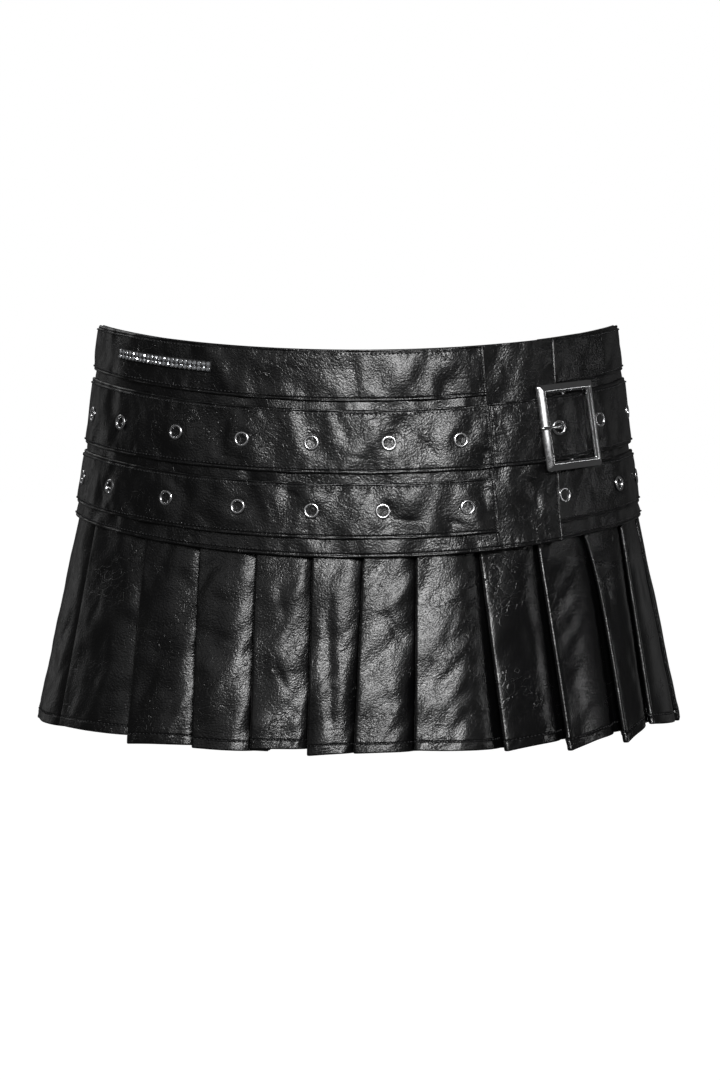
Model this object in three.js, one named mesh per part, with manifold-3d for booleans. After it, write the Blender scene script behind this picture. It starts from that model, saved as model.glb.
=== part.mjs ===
// A pleated leather mini skirt with a wrap front, two eyelet belts and a buckle, in millimetres.
// +Z is up and the front faces -Y. The origin is the middle of the waist opening, half-way down
// the waistband at the sides. Angles run round the body: 0 at the front, +90 at +X, in degrees.
import * as THREE from "three";
import { mergeVertices } from "three/addons/utils/BufferGeometryUtils.js";
import Module from "manifold-3d";

const wasm = await Module();
wasm.setup();

const DEGREE = Math.PI / 180;
const SEAM_GAP = 0.3; // between neighbouring pieces
const YOKE_WALL = 1.3;
const BAND_WALL = 1.2;
const PLEAT_WALL = 1.2;
const BAND_OUT = SEAM_GAP + BAND_WALL; // a band's outer face, out from the yoke's
const ANGLE_STEP = 5; // round the body, in the yoke and the bands
const EDGE_CLEAR = 1; // the least angle from a panel's edge to its next column

// The yoke's outer face, and below it the outline that the pleats fill. drop is how far down the
// cloth a section lies. Its heights are at the sides, the centre front and the centre back, and
// half, front and back are its distances from the axis there.
const SECTIONS = [
  { drop: 0, sideZ: 13.8, frontZ: -0.7, backZ: -3, half: 156.6, front: 111, back: 114 },
  { drop: 30, sideZ: -12.3, frontZ: -30.5, backZ: -33, half: 160.2, front: 114.5, back: 118 },
  { drop: 36, sideZ: -18, frontZ: -36.3, backZ: -39, half: 161.2, front: 115.3, back: 119 },
  { drop: 73, sideZ: -56.6, frontZ: -72.6, backZ: -75.5, half: 165.5, front: 119.6, back: 124.6 },
  { drop: 79, sideZ: -62, frontZ: -79.7, backZ: -82.5, half: 166.2, front: 120.3, back: 125.6 },
  { drop: 111.5, sideZ: -93.2, frontZ: -111.8, backZ: -114.7, half: 170.6, front: 123.8, back: 130 },
  { drop: 122, sideZ: -102.4, frontZ: -123.6, backZ: -126.5, half: 173.3, front: 125.4, back: 131.6 },
  { drop: 246, sideZ: -226.9, frontZ: -236.6, backZ: -239, half: 195.8, front: 148, back: 154 },
];
const YOKE_BOTTOM = 122;
const DIP_POWER = 1.6; // how the edges sink from the sides to the front and back

// The wrap front: the left front ends at its slanted edge, over a smooth placket panel, whose far
// edge lies over the right side.
const LEFT_SEAM = -90;
const WRAP_EDGE = { top: 28.1, bottom: 29.5 };
const PLACKET_EDGE = { top: 48.6, bottom: 45 };
const PLACKET_UNDER_WRAP = 4.5; // degrees of the panel that the left front covers
const BACK_UNDER_PLACKET = 4.5; // degrees of the right side's yoke that the panel covers
const BAND_UNDER_PLACKET = 1.5; // degrees of its bands that the panel covers
const BACK_INSET = 3.1; // the right side is set in where the panel lies over it
const INSET_END = { from: 54, to: 68 }; // and comes back out between these angles
const PLACKET_RISE = { from: 30, to: 40 };
const PLACKET_OUT = 0.1;

// The raised bands on the yoke. top and bottom are drops; crown is the bulge at mid-height.
const BANDS = {
  waistband: { top: 0, bottom: 31, crown: 0.4 },
  belt_1: { top: 36, bottom: 74.4, crown: 0.7 },
  belt_2: { top: 79, bottom: 112.3, crown: 0.7 },
};

// Angles of the eyelets on each belt's front and right side. Round the back they keep the pitch.
// below is how far the front ones lie below the belt's middle.
const EYELET_RUNS = [
  {
    belt: "belt_1",
    front: [21.6, 6.3, -9.7, -24.8, -41.3, -60, -77.6],
    below: 1,
    right: [62.4, 82.7],
    pitch: 43,
  },
  {
    belt: "belt_2",
    front: [22.4, 4.9, -9.4, -24.9, -42.5, -61.6, -80.2],
    below: 0,
    right: [47.6, 67.8, 85],
    pitch: 45,
  },
];
const EYELET = {
  bore: 2.3,
  barrel: 2.8,
  flange: 4.4,
  crest: 3.4,
  height: 0.7,
  lip: 0.1, // where the bore starts to open out
  depth: 1.1,
  sides: 8,
};
const EYELET_HOLE = 3.2;

// The buckle lies flat on the tongue. Its centre bar is under the tongue, which arches over it.
const BUCKLE = { angle: 49.5, width: 44, height: 52, bar: 5.5, thick: 4, lift: 2, bevel: 1, corner: 1.5 };
const BUCKLE_TURN = -2; // degrees, its foot towards the front
const CENTRE_BAR = { width: 3, low: 0.6, high: 2.2 };
const TONGUE = { end: 56, out: 0.7, archOut: 2.8, archHalf: 6, step: 2.5 };
const PRONG = { angle: 46.3, radius: 1, sides: 6, steps: 10 };

const TRIM = { from: -63.5, to: -33, drop: 14.5, width: 7, thick: 0.8 };

// One row for each knife pleat: the angle of its outer fold at the yoke and at the hem, how far
// the fold stands out at the hem, and how far its face bulges there, in millimetres.
const PLEATS = [
  { top: -83, hem: -82, lift: 1, roll: 1 },
  { top: -68.1, hem: -66.1, lift: 1.5, roll: 0.5 },
  { top: -48.1, hem: -44.7, lift: 0, roll: 1 },
  { top: -33.5, hem: -30, lift: 1, roll: 0.5 },
  { top: -20.7, hem: -18.9, lift: 0, roll: 0 },
  { top: -9, hem: -8.8, lift: -1, roll: 4 },
  { top: 1.2, hem: -0.7, lift: 0, roll: 0.5 },
  { top: 11.8, hem: 9.8, lift: 0.5, roll: 2 },
  { top: 25.2, hem: 26.3, lift: 1.5, roll: 0 },
  { top: 39.4, hem: 39.4, lift: 2.5, roll: -0.5 },
  { top: 51.2, hem: 55.5, lift: 3.5, roll: -1 },
  { top: 69, hem: 67.5, lift: 1, roll: 1.5 },
  { top: 84, hem: 85, lift: 1, roll: 0.5 },
  { top: 100, hem: 99.5, lift: 1.5, roll: 1 },
  { top: 115.5, hem: 117, lift: 0, roll: 2 },
  { top: 130, hem: 130.5, lift: 1.5, roll: 0 },
  { top: 143.5, hem: 142.5, lift: 0.5, roll: 1 },
  { top: 156.3, hem: 157, lift: 1, roll: 3 },
  { top: 168.7, hem: 169.5, lift: 0, roll: 0.5 },
  { top: 180.8, hem: 180, lift: 2, roll: 0 },
  { top: 193, hem: 194, lift: 0.5, roll: 2 },
  { top: 205.3, hem: 205, lift: 1, roll: 1 },
  { top: 218.2, hem: 219.5, lift: 2, roll: 0 },
  { top: 232, hem: 231, lift: 0, roll: 1.5 },
  { top: 246.6, hem: 247, lift: 1, roll: 0.5 },
  { top: 262, hem: 262.5, lift: 0.5, roll: 1 },
];
const PLEATS_IN_FRONT = 12; // the front panel's share of the rows
const PLEAT_LEVELS = [0, 0.07, 0.35, 0.68, 1]; // from the tucked top to the hem
const PLEAT_TOP = 113; // drop of the tucked edge
const PLEAT_HEM = 246;
// Offsets from the outline at the yoke and at the hem: the outer fold, the layer under the next
// pleat, the fold's half thickness, and how far the cloth runs under the next pleat.
const FOLD_TOP = { outer: -2.7, under: -6.1, radius: 0.85, depth: 11 };
const FOLD_HEM = { outer: 0, under: -8, radius: 1.1, depth: 10 };
const FACE_STEPS = [0.3, 0.65, 1];
const PLEAT_TUCK = { in: 3.2, from: 17, to: 25 }; // the top is set in behind the placket panel

const LEATHER = { color: 0x0c0c0d, roughness: 0.35, metalness: 0 };
const STEEL = { color: 0xc8c9cc, roughness: 0.2, metalness: 1 };

const mix = THREE.MathUtils.lerp;
const ramp = THREE.MathUtils.smoothstep;

// Every column of the sections at one drop.
function sectionAt(drop) {
  let i = SECTIONS.findIndex((s) => s.drop >= drop);
  if (i < 1) i = drop > 0 ? SECTIONS.length - 1 : 1;
  const [above, below] = [SECTIONS[i - 1], SECTIONS[i]];
  const share = (drop - above.drop) / (below.drop - above.drop);
  const columns = Object.keys(above).map((c) => [c, mix(above[c], below[c], share)]);
  return Object.fromEntries(columns);
}

// A point on the outline at an angle and drop, moved out level along the oval's normal.
function outlinePoint(angle, drop, out = 0) {
  const s = sectionAt(drop);
  const [sin, cos] = [Math.sin(angle * DEGREE), Math.cos(angle * DEGREE)];
  const [depth, centreZ] = cos > 0 ? [s.front, s.frontZ] : [s.back, s.backZ];
  const z = mix(s.sideZ, centreZ, Math.abs(cos) ** DIP_POWER);
  const normal = new THREE.Vector3(sin / s.half, -cos / depth, 0).setLength(1);
  return new THREE.Vector3(s.half * sin, -depth * cos, z).addScaledVector(normal, out);
}

// Millimetres of cloth in one degree round the body.
function millimetresPerDegree(angle, drop) {
  return outlinePoint(angle + 0.5, drop).distanceTo(outlinePoint(angle - 0.5, drop));
}

// Seats an object on a face, given by how far out the face lies at each angle and drop. The
// object's X points across to higher angles, its Y out of the face and its Z down it.
function seatOn(object, outAt, angle, drop, above = 0) {
  const onFace = (a, d) => outlinePoint(a, d, outAt(a, d));
  const across = onFace(angle + 1, drop).sub(onFace(angle - 1, drop)).normalize();
  const down = onFace(angle, drop + 1).sub(onFace(angle, drop - 1)).normalize();
  const outward = down.clone().cross(across).normalize();
  const axes = new THREE.Matrix4().makeBasis(across, outward, across.clone().cross(outward));
  object.quaternion.setFromRotationMatrix(axes);
  object.position.copy(onFace(angle, drop)).addScaledVector(outward, above);
  return object;
}

// A closed wall between two grids of points, each a list of rows of equal length.
function wallBetween(outer, inner) {
  const [rows, columns] = [outer.length, outer[0].length];
  const points = [...outer.flat(), ...inner.flat()];
  const at = (side, row, column) => (side * rows + row) * columns + column;
  const faces = [];
  const quad = (a, b, c, d) => faces.push(a, b, c, a, c, d);
  for (let r = 0; r < rows - 1; r++)
    for (let c = 0; c < columns - 1; c++) {
      quad(at(0, r, c), at(0, r + 1, c), at(0, r + 1, c + 1), at(0, r, c + 1));
      quad(at(1, r, c), at(1, r, c + 1), at(1, r + 1, c + 1), at(1, r + 1, c));
    }
  for (let c = 0; c < columns - 1; c++) {
    quad(at(0, 0, c), at(0, 0, c + 1), at(1, 0, c + 1), at(1, 0, c));
    quad(at(0, rows - 1, c), at(1, rows - 1, c), at(1, rows - 1, c + 1), at(0, rows - 1, c + 1));
  }
  for (let r = 0; r < rows - 1; r++) {
    quad(at(0, r, 0), at(1, r, 0), at(1, r + 1, 0), at(0, r + 1, 0));
    const end = columns - 1;
    quad(at(0, r, end), at(0, r + 1, end), at(1, r + 1, end), at(1, r, end));
  }
  const geometry = new THREE.BufferGeometry().setFromPoints(points);
  geometry.setIndex(faces);
  geometry.computeVertexNormals();
  return geometry;
}

// A panel of cloth: rows of drops, edges that may slant with the drop, and an outer face. Between
// its edges its columns stand at the same steps round the body as every other panel's, so that
// layers nest.
function panel({ drops, left, right, outAt, wall, step = ANGLE_STEP }) {
  const first = Math.max(...drops.map(left)) + EDGE_CLEAR;
  const last = Math.min(...drops.map(right)) - EDGE_CLEAR;
  const shared = [];
  for (let angle = Math.ceil(first / step) * step; angle <= last; angle += step) shared.push(angle);
  const grid = (inward) =>
    drops.map((drop) => {
      const angles = [left(drop), ...shared, right(drop)];
      return angles.map((angle) => outlinePoint(angle, drop, outAt(angle, drop) - inward));
    });
  return wallBetween(grid(0), grid(wall));
}

const wrapEdgeAt = (drop) => mix(WRAP_EDGE.top, WRAP_EDGE.bottom, drop / YOKE_BOTTOM);
const placketEdgeAt = (drop) => mix(PLACKET_EDGE.top, PLACKET_EDGE.bottom, drop / YOKE_BOTTOM);
const degreesOf = (length, angle, drop) => length / millimetresPerDegree(angle, drop);
const backInsetAt = (angle) => -BACK_INSET * (1 - ramp(angle, INSET_END.from, INSET_END.to));
const crownAt = (band, drop) => {
  const share = (drop - band.top) / (band.bottom - band.top);
  return band.crown * 4 * share * (1 - share);
};
const FULL_TURN = 360;
const YOKE_DROPS = SECTIONS.map((s) => s.drop).filter((drop) => drop <= YOKE_BOTTOM);

function yokeFront() {
  return panel({
    drops: YOKE_DROPS,
    left: () => LEFT_SEAM,
    right: wrapEdgeAt,
    outAt: () => 0,
    wall: YOKE_WALL,
  });
}

function yokeBack() {
  return panel({
    drops: YOKE_DROPS,
    left: (drop) => placketEdgeAt(drop) - BACK_UNDER_PLACKET,
    right: (drop) => LEFT_SEAM + FULL_TURN - degreesOf(SEAM_GAP, LEFT_SEAM, drop),
    outAt: backInsetAt,
    wall: YOKE_WALL,
  });
}

const placketOutAt = (angle) => {
  const low = -YOKE_WALL - SEAM_GAP;
  return mix(low, PLACKET_OUT, ramp(angle, PLACKET_RISE.from, PLACKET_RISE.to));
};

function placketPanel() {
  return panel({
    drops: YOKE_DROPS,
    left: (drop) => wrapEdgeAt(drop) - PLACKET_UNDER_WRAP,
    right: placketEdgeAt,
    outAt: placketOutAt,
    wall: BAND_WALL,
  });
}

const middleOf = (band) => (band.top + band.bottom) / 2;
const bandDrops = (band) => [band.top, middleOf(band), band.bottom];

// The outer faces of a band's front and back. The back starts flat under the placket panel.
const frontFaceOf = (band) => (angle, drop) => BAND_OUT + crownAt(band, drop);
const backFaceOf = (band) => (angle, drop) => {
  const freed = ramp(angle, PLACKET_EDGE.top, INSET_END.to);
  return backInsetAt(angle) + BAND_OUT + crownAt(band, drop) * freed;
};

function bandFront(band) {
  return panel({
    drops: bandDrops(band),
    left: () => LEFT_SEAM,
    right: wrapEdgeAt,
    outAt: frontFaceOf(band),
    wall: BAND_WALL,
  });
}

function bandBack(band) {
  return panel({
    drops: bandDrops(band),
    left: (drop) => placketEdgeAt(drop) - BAND_UNDER_PLACKET,
    right: (drop) => LEFT_SEAM + FULL_TURN - degreesOf(SEAM_GAP, LEFT_SEAM, drop),
    outAt: backFaceOf(band),
    wall: BAND_WALL,
  });
}

// The tongue lies on the placket panel, arches over the buckle's centre bar and ends under its
// far bar.
function tongueFace(angle) {
  const away = Math.min(1, Math.abs(angle - BUCKLE.angle) / TONGUE.archHalf);
  const arch = (TONGUE.archOut - TONGUE.out) * Math.cos((away * Math.PI) / 2) ** 2;
  const onPanel = placketOutAt(angle) + SEAM_GAP;
  const freed = ramp(angle, PLACKET_RISE.to, PLACKET_EDGE.bottom);
  return mix(onPanel, TONGUE.out, freed) + arch + BAND_WALL;
}

function beltTongue() {
  return panel({
    drops: bandDrops(BANDS.belt_1),
    left: (drop) => wrapEdgeAt(drop) + degreesOf(SEAM_GAP, WRAP_EDGE.top, drop),
    right: () => TONGUE.end,
    outAt: tongueFace,
    wall: BAND_WALL,
    step: TONGUE.step,
  });
}

// A pleat's course round the body at one level, as [angle, offset] pairs: its outer fold, its face
// and, unless it ends the panel, the fold back under the next pleat.
function pleatCourse(index, level, endsPanel) {
  const drop = mix(PLEAT_TOP, PLEAT_HEM, level);
  const here = PLEATS[index];
  const next = PLEATS[index + 1] ?? shiftedPleat(PLEATS[0], FULL_TURN);
  const fold = Object.fromEntries(
    Object.keys(FOLD_TOP).map((c) => [c, mix(FOLD_TOP[c], FOLD_HEM[c], level)]),
  );
  const outerOf = (pleat) => fold.outer + pleat.lift * level;
  const angleOf = (pleat) => mix(pleat.top, pleat.hem, level);
  const perDegree = millimetresPerDegree(angleOf(next), drop);
  const bend = fold.radius / perDegree;
  const inner = angleOf(next) + fold.depth / perDegree;
  const [start, out] = [angleOf(here), outerOf(here)];
  const outerFold = [
    [start + bend, out - 2 * fold.radius],
    [start, out - fold.radius],
    [start + bend, out],
  ];
  const face = FACE_STEPS.map((share) => [
    mix(start + bend, angleOf(next), share),
    mix(out, fold.under, share ** 2) + here.roll * level * 4 * share * (1 - share),
  ]);
  const under = [inner - bend, fold.under];
  const innerFold = [
    [inner, fold.under + fold.radius],
    [inner - bend, fold.under + 2 * fold.radius],
  ];
  return [...outerFold, ...face, under, ...(endsPanel ? [] : innerFold)];
}

const shiftedPleat = (pleat, turn) => ({ ...pleat, top: pleat.top + turn, hem: pleat.hem + turn });

// How much of the full tuck behind the placket panel a place gets.
const tuckAt = (angle) =>
  ramp(angle, PLEAT_TUCK.from, PLEAT_TUCK.to) * (1 - ramp(angle, INSET_END.from, INSET_END.to));

// The level rows of a run of pleats, moved half the wall to one side of the cloth's middle.
function pleatRow(first, last, level, side) {
  const drop = mix(PLEAT_TOP, PLEAT_HEM, level);
  const course = [];
  for (let i = first; i <= last; i++) course.push(...pleatCourse(i, level, i === last));
  const tuck = mix(PLEAT_TUCK.in, 0, level);
  const middle = course.map(([angle, out]) => outlinePoint(angle, drop, out - tuck * tuckAt(angle)));
  return middle.map((point, i) => {
    const before = middle[Math.max(0, i - 1)];
    const after = middle[Math.min(middle.length - 1, i + 1)];
    const normals = [
      [before, point],
      [point, after],
    ]
      .filter(([a, b]) => a !== b)
      .map(([a, b]) => new THREE.Vector2(b.y - a.y, a.x - b.x).normalize());
    const sum = normals.reduce((a, b) => a.clone().add(b));
    const mitre = sum.normalize().divideScalar(sum.dot(normals[0]));
    const move = mitre.multiplyScalar((side * PLEAT_WALL) / 2);
    return point.clone().add(new THREE.Vector3(move.x, move.y, 0));
  });
}

function pleatPanel(first, last) {
  const rows = (side) => PLEAT_LEVELS.map((level) => pleatRow(first, last, level, side));
  return wallBetween(rows(1), rows(-1));
}

// A closed geometry as a manifold solid, and back.
function toSolid(geometry, matrix = new THREE.Matrix4()) {
  const bare = geometry.clone().applyMatrix4(matrix);
  bare.deleteAttribute("normal");
  bare.deleteAttribute("uv");
  const merged = mergeVertices(bare, 1e-4);
  const mesh = new wasm.Mesh({
    numProp: 3,
    vertProperties: merged.attributes.position.array,
    triVerts: new Uint32Array(merged.index.array),
  });
  return new wasm.Manifold(mesh);
}

function toGeometry(solid) {
  const { vertProperties, triVerts } = solid.getMesh();
  const geometry = new THREE.BufferGeometry();
  geometry.setAttribute("position", new THREE.BufferAttribute(new Float32Array(vertProperties), 3));
  geometry.setIndex([...triVerts]);
  geometry.computeVertexNormals();
  return geometry;
}

// Angles at even distances round a belt, between two angles and without them.
function evenAngles(from, to, pitch, drop) {
  const lengths = [0];
  for (let angle = from; angle < to; angle++)
    lengths.push(lengths.at(-1) + millimetresPerDegree(angle + 0.5, drop));
  const count = Math.round(lengths.at(-1) / pitch);
  const atShare = (share) => from + lengths.findIndex((l) => l >= share * lengths.at(-1));
  return Array.from({ length: count - 1 }, (_, i) => atShare((i + 1) / count));
}

function eyeletGeometry() {
  const { bore, barrel, flange, crest, height, lip, depth, sides } = EYELET;
  const profile = [
    [bore, -depth],
    [barrel, -depth],
    [barrel, 0],
    [flange, 0],
    [crest, height],
    [bore, lip],
    [bore, -depth],
  ].map(([r, y]) => new THREE.Vector2(r, y));
  return new THREE.LatheGeometry(profile, sides);
}

// A belt piece with a hole through it at each of its eyelets, and those eyelets.
function addEyeletPiece(name, geometry, band, outAt, angles, below = 0) {
  const reach = 4 * BAND_WALL; // the punch goes through and out on both sides
  const punch = new THREE.CylinderGeometry(EYELET_HOLE, EYELET_HOLE, reach, EYELET.sides);
  const drop = middleOf(band) + below;
  let solid = toSolid(geometry);
  angles.forEach((angle, i) => {
    const tool = seatOn(new THREE.Object3D(), outAt, angle, drop);
    tool.updateMatrix();
    solid = solid.subtract(toSolid(punch, tool.matrix));
    const eyelet = addPiece(`eyelet_${name}_${i + 1}`, eyeletGeometry(), STEEL);
    seatOn(eyelet, outAt, angle, drop, SEAM_GAP);
  });
  addPiece(name, toGeometry(solid), LEATHER);
}

function rectanglePath(width, height, corner, PathClass) {
  const [x, y] = [width / 2, height / 2];
  const path = new PathClass();
  path.moveTo(-x + corner, -y);
  path.lineTo(x - corner, -y);
  path.lineTo(x, -y + corner);
  path.lineTo(x, y - corner);
  path.lineTo(x - corner, y);
  path.lineTo(-x + corner, y);
  path.lineTo(-x, y - corner);
  path.lineTo(-x, -y + corner);
  path.closePath();
  return path;
}

// The buckle lies flat: across is X, along the strap's width is Z, and outward is Y.
function buckleFrame() {
  const { width, height, bar, thick, lift, bevel, corner } = BUCKLE;
  const outline = rectanglePath(width, height, corner, THREE.Shape);
  outline.holes.push(rectanglePath(width - 2 * bar, height - 2 * bar, corner / 2, THREE.Path));
  const frame = new THREE.ExtrudeGeometry(outline, {
    depth: thick - 2 * bevel,
    bevelSize: bevel,
    bevelThickness: bevel,
    bevelOffset: -bevel,
    bevelSegments: 1,
  });
  const flat = new THREE.Matrix4().makeRotationX(-Math.PI / 2).setPosition(0, lift + bevel, 0);
  const { width: barWidth, low, high } = CENTRE_BAR;
  const middle = new THREE.BoxGeometry(barWidth, high - low, height - bar);
  const lowered = new THREE.Matrix4().makeTranslation(0, (high + low) / 2, 0);
  return toGeometry(toSolid(frame, flat).add(toSolid(middle, lowered)));
}

// The prong rises through its eyelet and lies across the near bar, bent down at its tip.
function buckleProng() {
  const top = BUCKLE.lift + BUCKLE.thick + SEAM_GAP + PRONG.radius;
  const points = [
    [-7.4, 1.4],
    [-7.7, 2.8],
    [-8.6, 4.8],
    [-11.1, top],
    [-15, top + 0.2],
    [-20.5, top],
    [-23.1, top - 0.7],
  ].map(([x, y]) => new THREE.Vector3(x, y, 0));
  const section = new THREE.Shape();
  for (let i = 0; i < PRONG.sides; i++) {
    const turn = (i / PRONG.sides) * 2 * Math.PI;
    const [x, y] = [PRONG.radius * Math.cos(turn), PRONG.radius * Math.sin(turn)];
    if (i) section.lineTo(x, y);
    else section.moveTo(x, y);
  }
  const path = new THREE.CatmullRomCurve3(points);
  return new THREE.ExtrudeGeometry(section, { steps: PRONG.steps, extrudePath: path, bevelEnabled: false });
}

function crystalTrim() {
  const half = TRIM.width / 2;
  const waistOut = (drop) => BAND_OUT + crownAt(BANDS.waistband, drop);
  return panel({
    drops: [TRIM.drop - half, TRIM.drop, TRIM.drop + half],
    left: () => TRIM.from,
    right: () => TRIM.to,
    outAt: (angle, drop) => waistOut(drop) + SEAM_GAP + TRIM.thick,
    wall: TRIM.thick,
  });
}

const skirt = new THREE.Group();
function addPiece(name, geometry, finish) {
  const mesh = new THREE.Mesh(geometry, new THREE.MeshStandardMaterial(finish));
  mesh.name = name;
  skirt.add(mesh);
  return mesh;
}

addPiece("yoke_front", yokeFront(), LEATHER);
addPiece("yoke_back", yokeBack(), LEATHER);
addPiece("placket_panel", placketPanel(), LEATHER);
addPiece("waistband_front", bandFront(BANDS.waistband), LEATHER);
addPiece("waistband_back", bandBack(BANDS.waistband), LEATHER);

for (const run of EYELET_RUNS) {
  const band = BANDS[run.belt];
  const leftmost = run.front.at(-1) + FULL_TURN;
  const behind = evenAngles(run.right.at(-1), leftmost, run.pitch, middleOf(band));
  const front = run.belt + "_front";
  addEyeletPiece(front, bandFront(band), band, frontFaceOf(band), run.front, run.below);
  addEyeletPiece(run.belt + "_back", bandBack(band), band, backFaceOf(band), [...run.right, ...behind]);
}
addEyeletPiece("belt_1_tongue", beltTongue(), BANDS.belt_1, tongueFace, [PRONG.angle]);

addPiece("pleats_front", pleatPanel(0, PLEATS_IN_FRONT - 1), LEATHER);
addPiece("pleats_back", pleatPanel(PLEATS_IN_FRONT, PLEATS.length - 1), LEATHER);

for (const [name, geometry] of [
  ["buckle_frame", buckleFrame()],
  ["buckle_prong", buckleProng()],
]) {
  const mesh = addPiece(name, geometry, STEEL);
  seatOn(mesh, () => 0, BUCKLE.angle, middleOf(BANDS.belt_1));
  mesh.rotateY(BUCKLE_TURN * DEGREE);
}
addPiece("crystal_trim", crystalTrim(), STEEL);

export default skirt;
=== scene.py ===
# %% [markdown]
# # A leather mini skirt with a wrap front, two eyelet belts and a buckle
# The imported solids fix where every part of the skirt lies. This lesson dresses them: it puts a
# thin, finely creased shell of leather in the place of each cloth solid, sews it, sets the
# eyelets and the buckle, and lights it as a product on white. Lengths are in millimetres and
# turn into metres only when a mesh is made. Angles run round the body in degrees, 0 at the
# front and +90 at the wearer's left, which is the right of the picture.

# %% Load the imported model
import bmesh
import bpy
import numpy as np
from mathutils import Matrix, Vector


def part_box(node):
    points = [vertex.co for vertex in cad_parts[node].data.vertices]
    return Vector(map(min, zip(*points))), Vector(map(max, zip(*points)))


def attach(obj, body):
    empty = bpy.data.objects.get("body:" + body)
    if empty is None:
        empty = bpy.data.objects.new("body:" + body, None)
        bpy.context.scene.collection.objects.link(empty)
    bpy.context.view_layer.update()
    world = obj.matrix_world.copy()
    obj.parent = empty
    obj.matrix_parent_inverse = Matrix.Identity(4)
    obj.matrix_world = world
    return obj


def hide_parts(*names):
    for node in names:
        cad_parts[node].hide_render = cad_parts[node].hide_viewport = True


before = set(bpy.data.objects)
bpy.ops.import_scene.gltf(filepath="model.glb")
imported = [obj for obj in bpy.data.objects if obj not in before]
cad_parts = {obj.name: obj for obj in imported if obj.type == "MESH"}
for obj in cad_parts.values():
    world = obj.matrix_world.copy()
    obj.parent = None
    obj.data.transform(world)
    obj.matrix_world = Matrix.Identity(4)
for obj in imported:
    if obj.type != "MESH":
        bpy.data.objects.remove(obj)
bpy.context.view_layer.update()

MM = 0.001

# %% [markdown]
# ## The body form
# Every piece of this skirt lies on one flared oval tube, the form that a wearer's hips give
# it. The tube is known at eight sections down the cloth, and a point on it needs only an
# angle, a drop down the cloth and how far it stands off. Writing that as one function of
# whole arrays lets every later piece be a grid of numbers.

# %% The form as a function of angle and drop
# drop, then the height at the sides, front and back, the half width, and the front and back depth
SECTIONS = np.array([
    (0, 13.8, -0.7, -3, 156.6, 111, 114),
    (30, -12.3, -30.5, -33, 160.2, 114.5, 118),
    (36, -18, -36.3, -39, 161.2, 115.3, 119),
    (73, -56.6, -72.6, -75.5, 165.5, 119.6, 124.6),
    (79, -62, -79.7, -82.5, 166.2, 120.3, 125.6),
    (111.5, -93.2, -111.8, -114.7, 170.6, 123.8, 130),
    (122, -102.4, -123.6, -126.5, 173.3, 125.4, 131.6),
    (246, -226.9, -236.6, -239, 195.8, 148, 154),
])
DIP_POWER = 1.6


def form_point(angle, drop, out=0.0):
    """x = half sin(angle), y = -depth cos(angle), z = side + (centre - side) |cos(angle)|^1.6,
    each section value interpolated at the drop, then moved out along the oval's level normal."""
    angle, drop, out = np.broadcast_arrays(angle, drop, out)
    side_z, front_z, back_z, half, front, back = (
        np.interp(drop, SECTIONS[:, 0], column) for column in SECTIONS[:, 1:].T
    )
    sin, cos = np.sin(np.radians(angle)), np.cos(np.radians(angle))
    depth = np.where(cos > 0, front, back)
    centre_z = np.where(cos > 0, front_z, back_z)
    z = side_z + (centre_z - side_z) * np.abs(cos) ** DIP_POWER
    normal = np.stack([sin / half, -cos / depth], axis=-1)
    normal /= np.linalg.norm(normal, axis=-1, keepdims=True)
    level = np.stack([half * sin, -depth * cos], axis=-1) + out[..., None] * normal
    return np.concatenate([level, z[..., None]], axis=-1)


def mm_per_degree(angle, drop):
    """Length of cloth in one degree: the distance between two points half a degree off."""
    step = form_point(angle + 0.5, drop) - form_point(angle - 0.5, drop)
    return np.linalg.norm(step, axis=-1)


turn = np.arange(0, 360)
for drop in (0, 122, 246):
    print("round the form at drop", drop, ":", round(float(mm_per_degree(turn + 0.5, drop).sum())), "mm")

# %% [markdown]
# ## From grids to meshes
# A cloth shell is two grids of points, its outer and its inner face, that share their rim, so
# that it is closed all round. `foreach_set` hands whole arrays to Blender, which is quick even
# for a hundred thousand faces. Each piece also gets a UV map in metres of cloth, so that a
# pattern keeps its size wherever the leather runs.

# %% Mesh helpers
def make_piece(name, points, face_sets, uv=None):
    """An object from points in millimetres. face_sets holds (corner indices, material index),
    and uv gives each point its place on the cloth in metres."""
    mesh = bpy.data.meshes.new(name)
    sizes = np.concatenate([np.full(len(faces), faces.shape[1]) for faces, _ in face_sets])
    corners = np.concatenate([faces.ravel() for faces, _ in face_sets])
    mesh.vertices.add(len(points))
    mesh.vertices.foreach_set("co", (points * MM).ravel())
    mesh.loops.add(len(corners))
    mesh.loops.foreach_set("vertex_index", corners)
    mesh.polygons.add(len(sizes))
    mesh.polygons.foreach_set("loop_start", np.concatenate([[0], np.cumsum(sizes)[:-1]]))
    finishes = np.concatenate([np.full(len(faces), finish) for faces, finish in face_sets])
    mesh.polygons.foreach_set("material_index", finishes)
    mesh.polygons.foreach_set("use_smooth", np.ones(len(sizes), bool))
    mesh.update(calc_edges=True)
    if uv is not None:
        layer = mesh.uv_layers.new(name="cloth")
        layer.data.foreach_set("uv", uv[corners].ravel())
    piece = bpy.data.objects.new(name, mesh)
    bpy.context.scene.collection.objects.link(piece)
    return piece


def grid_quads(index):
    """Quads of a grid of point numbers whose rows go down the cloth and columns to the right."""
    corners = [index[:-1, :-1], index[1:, :-1], index[1:, 1:], index[:-1, 1:]]
    return np.stack(corners, axis=-1).reshape(-1, 4)


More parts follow.
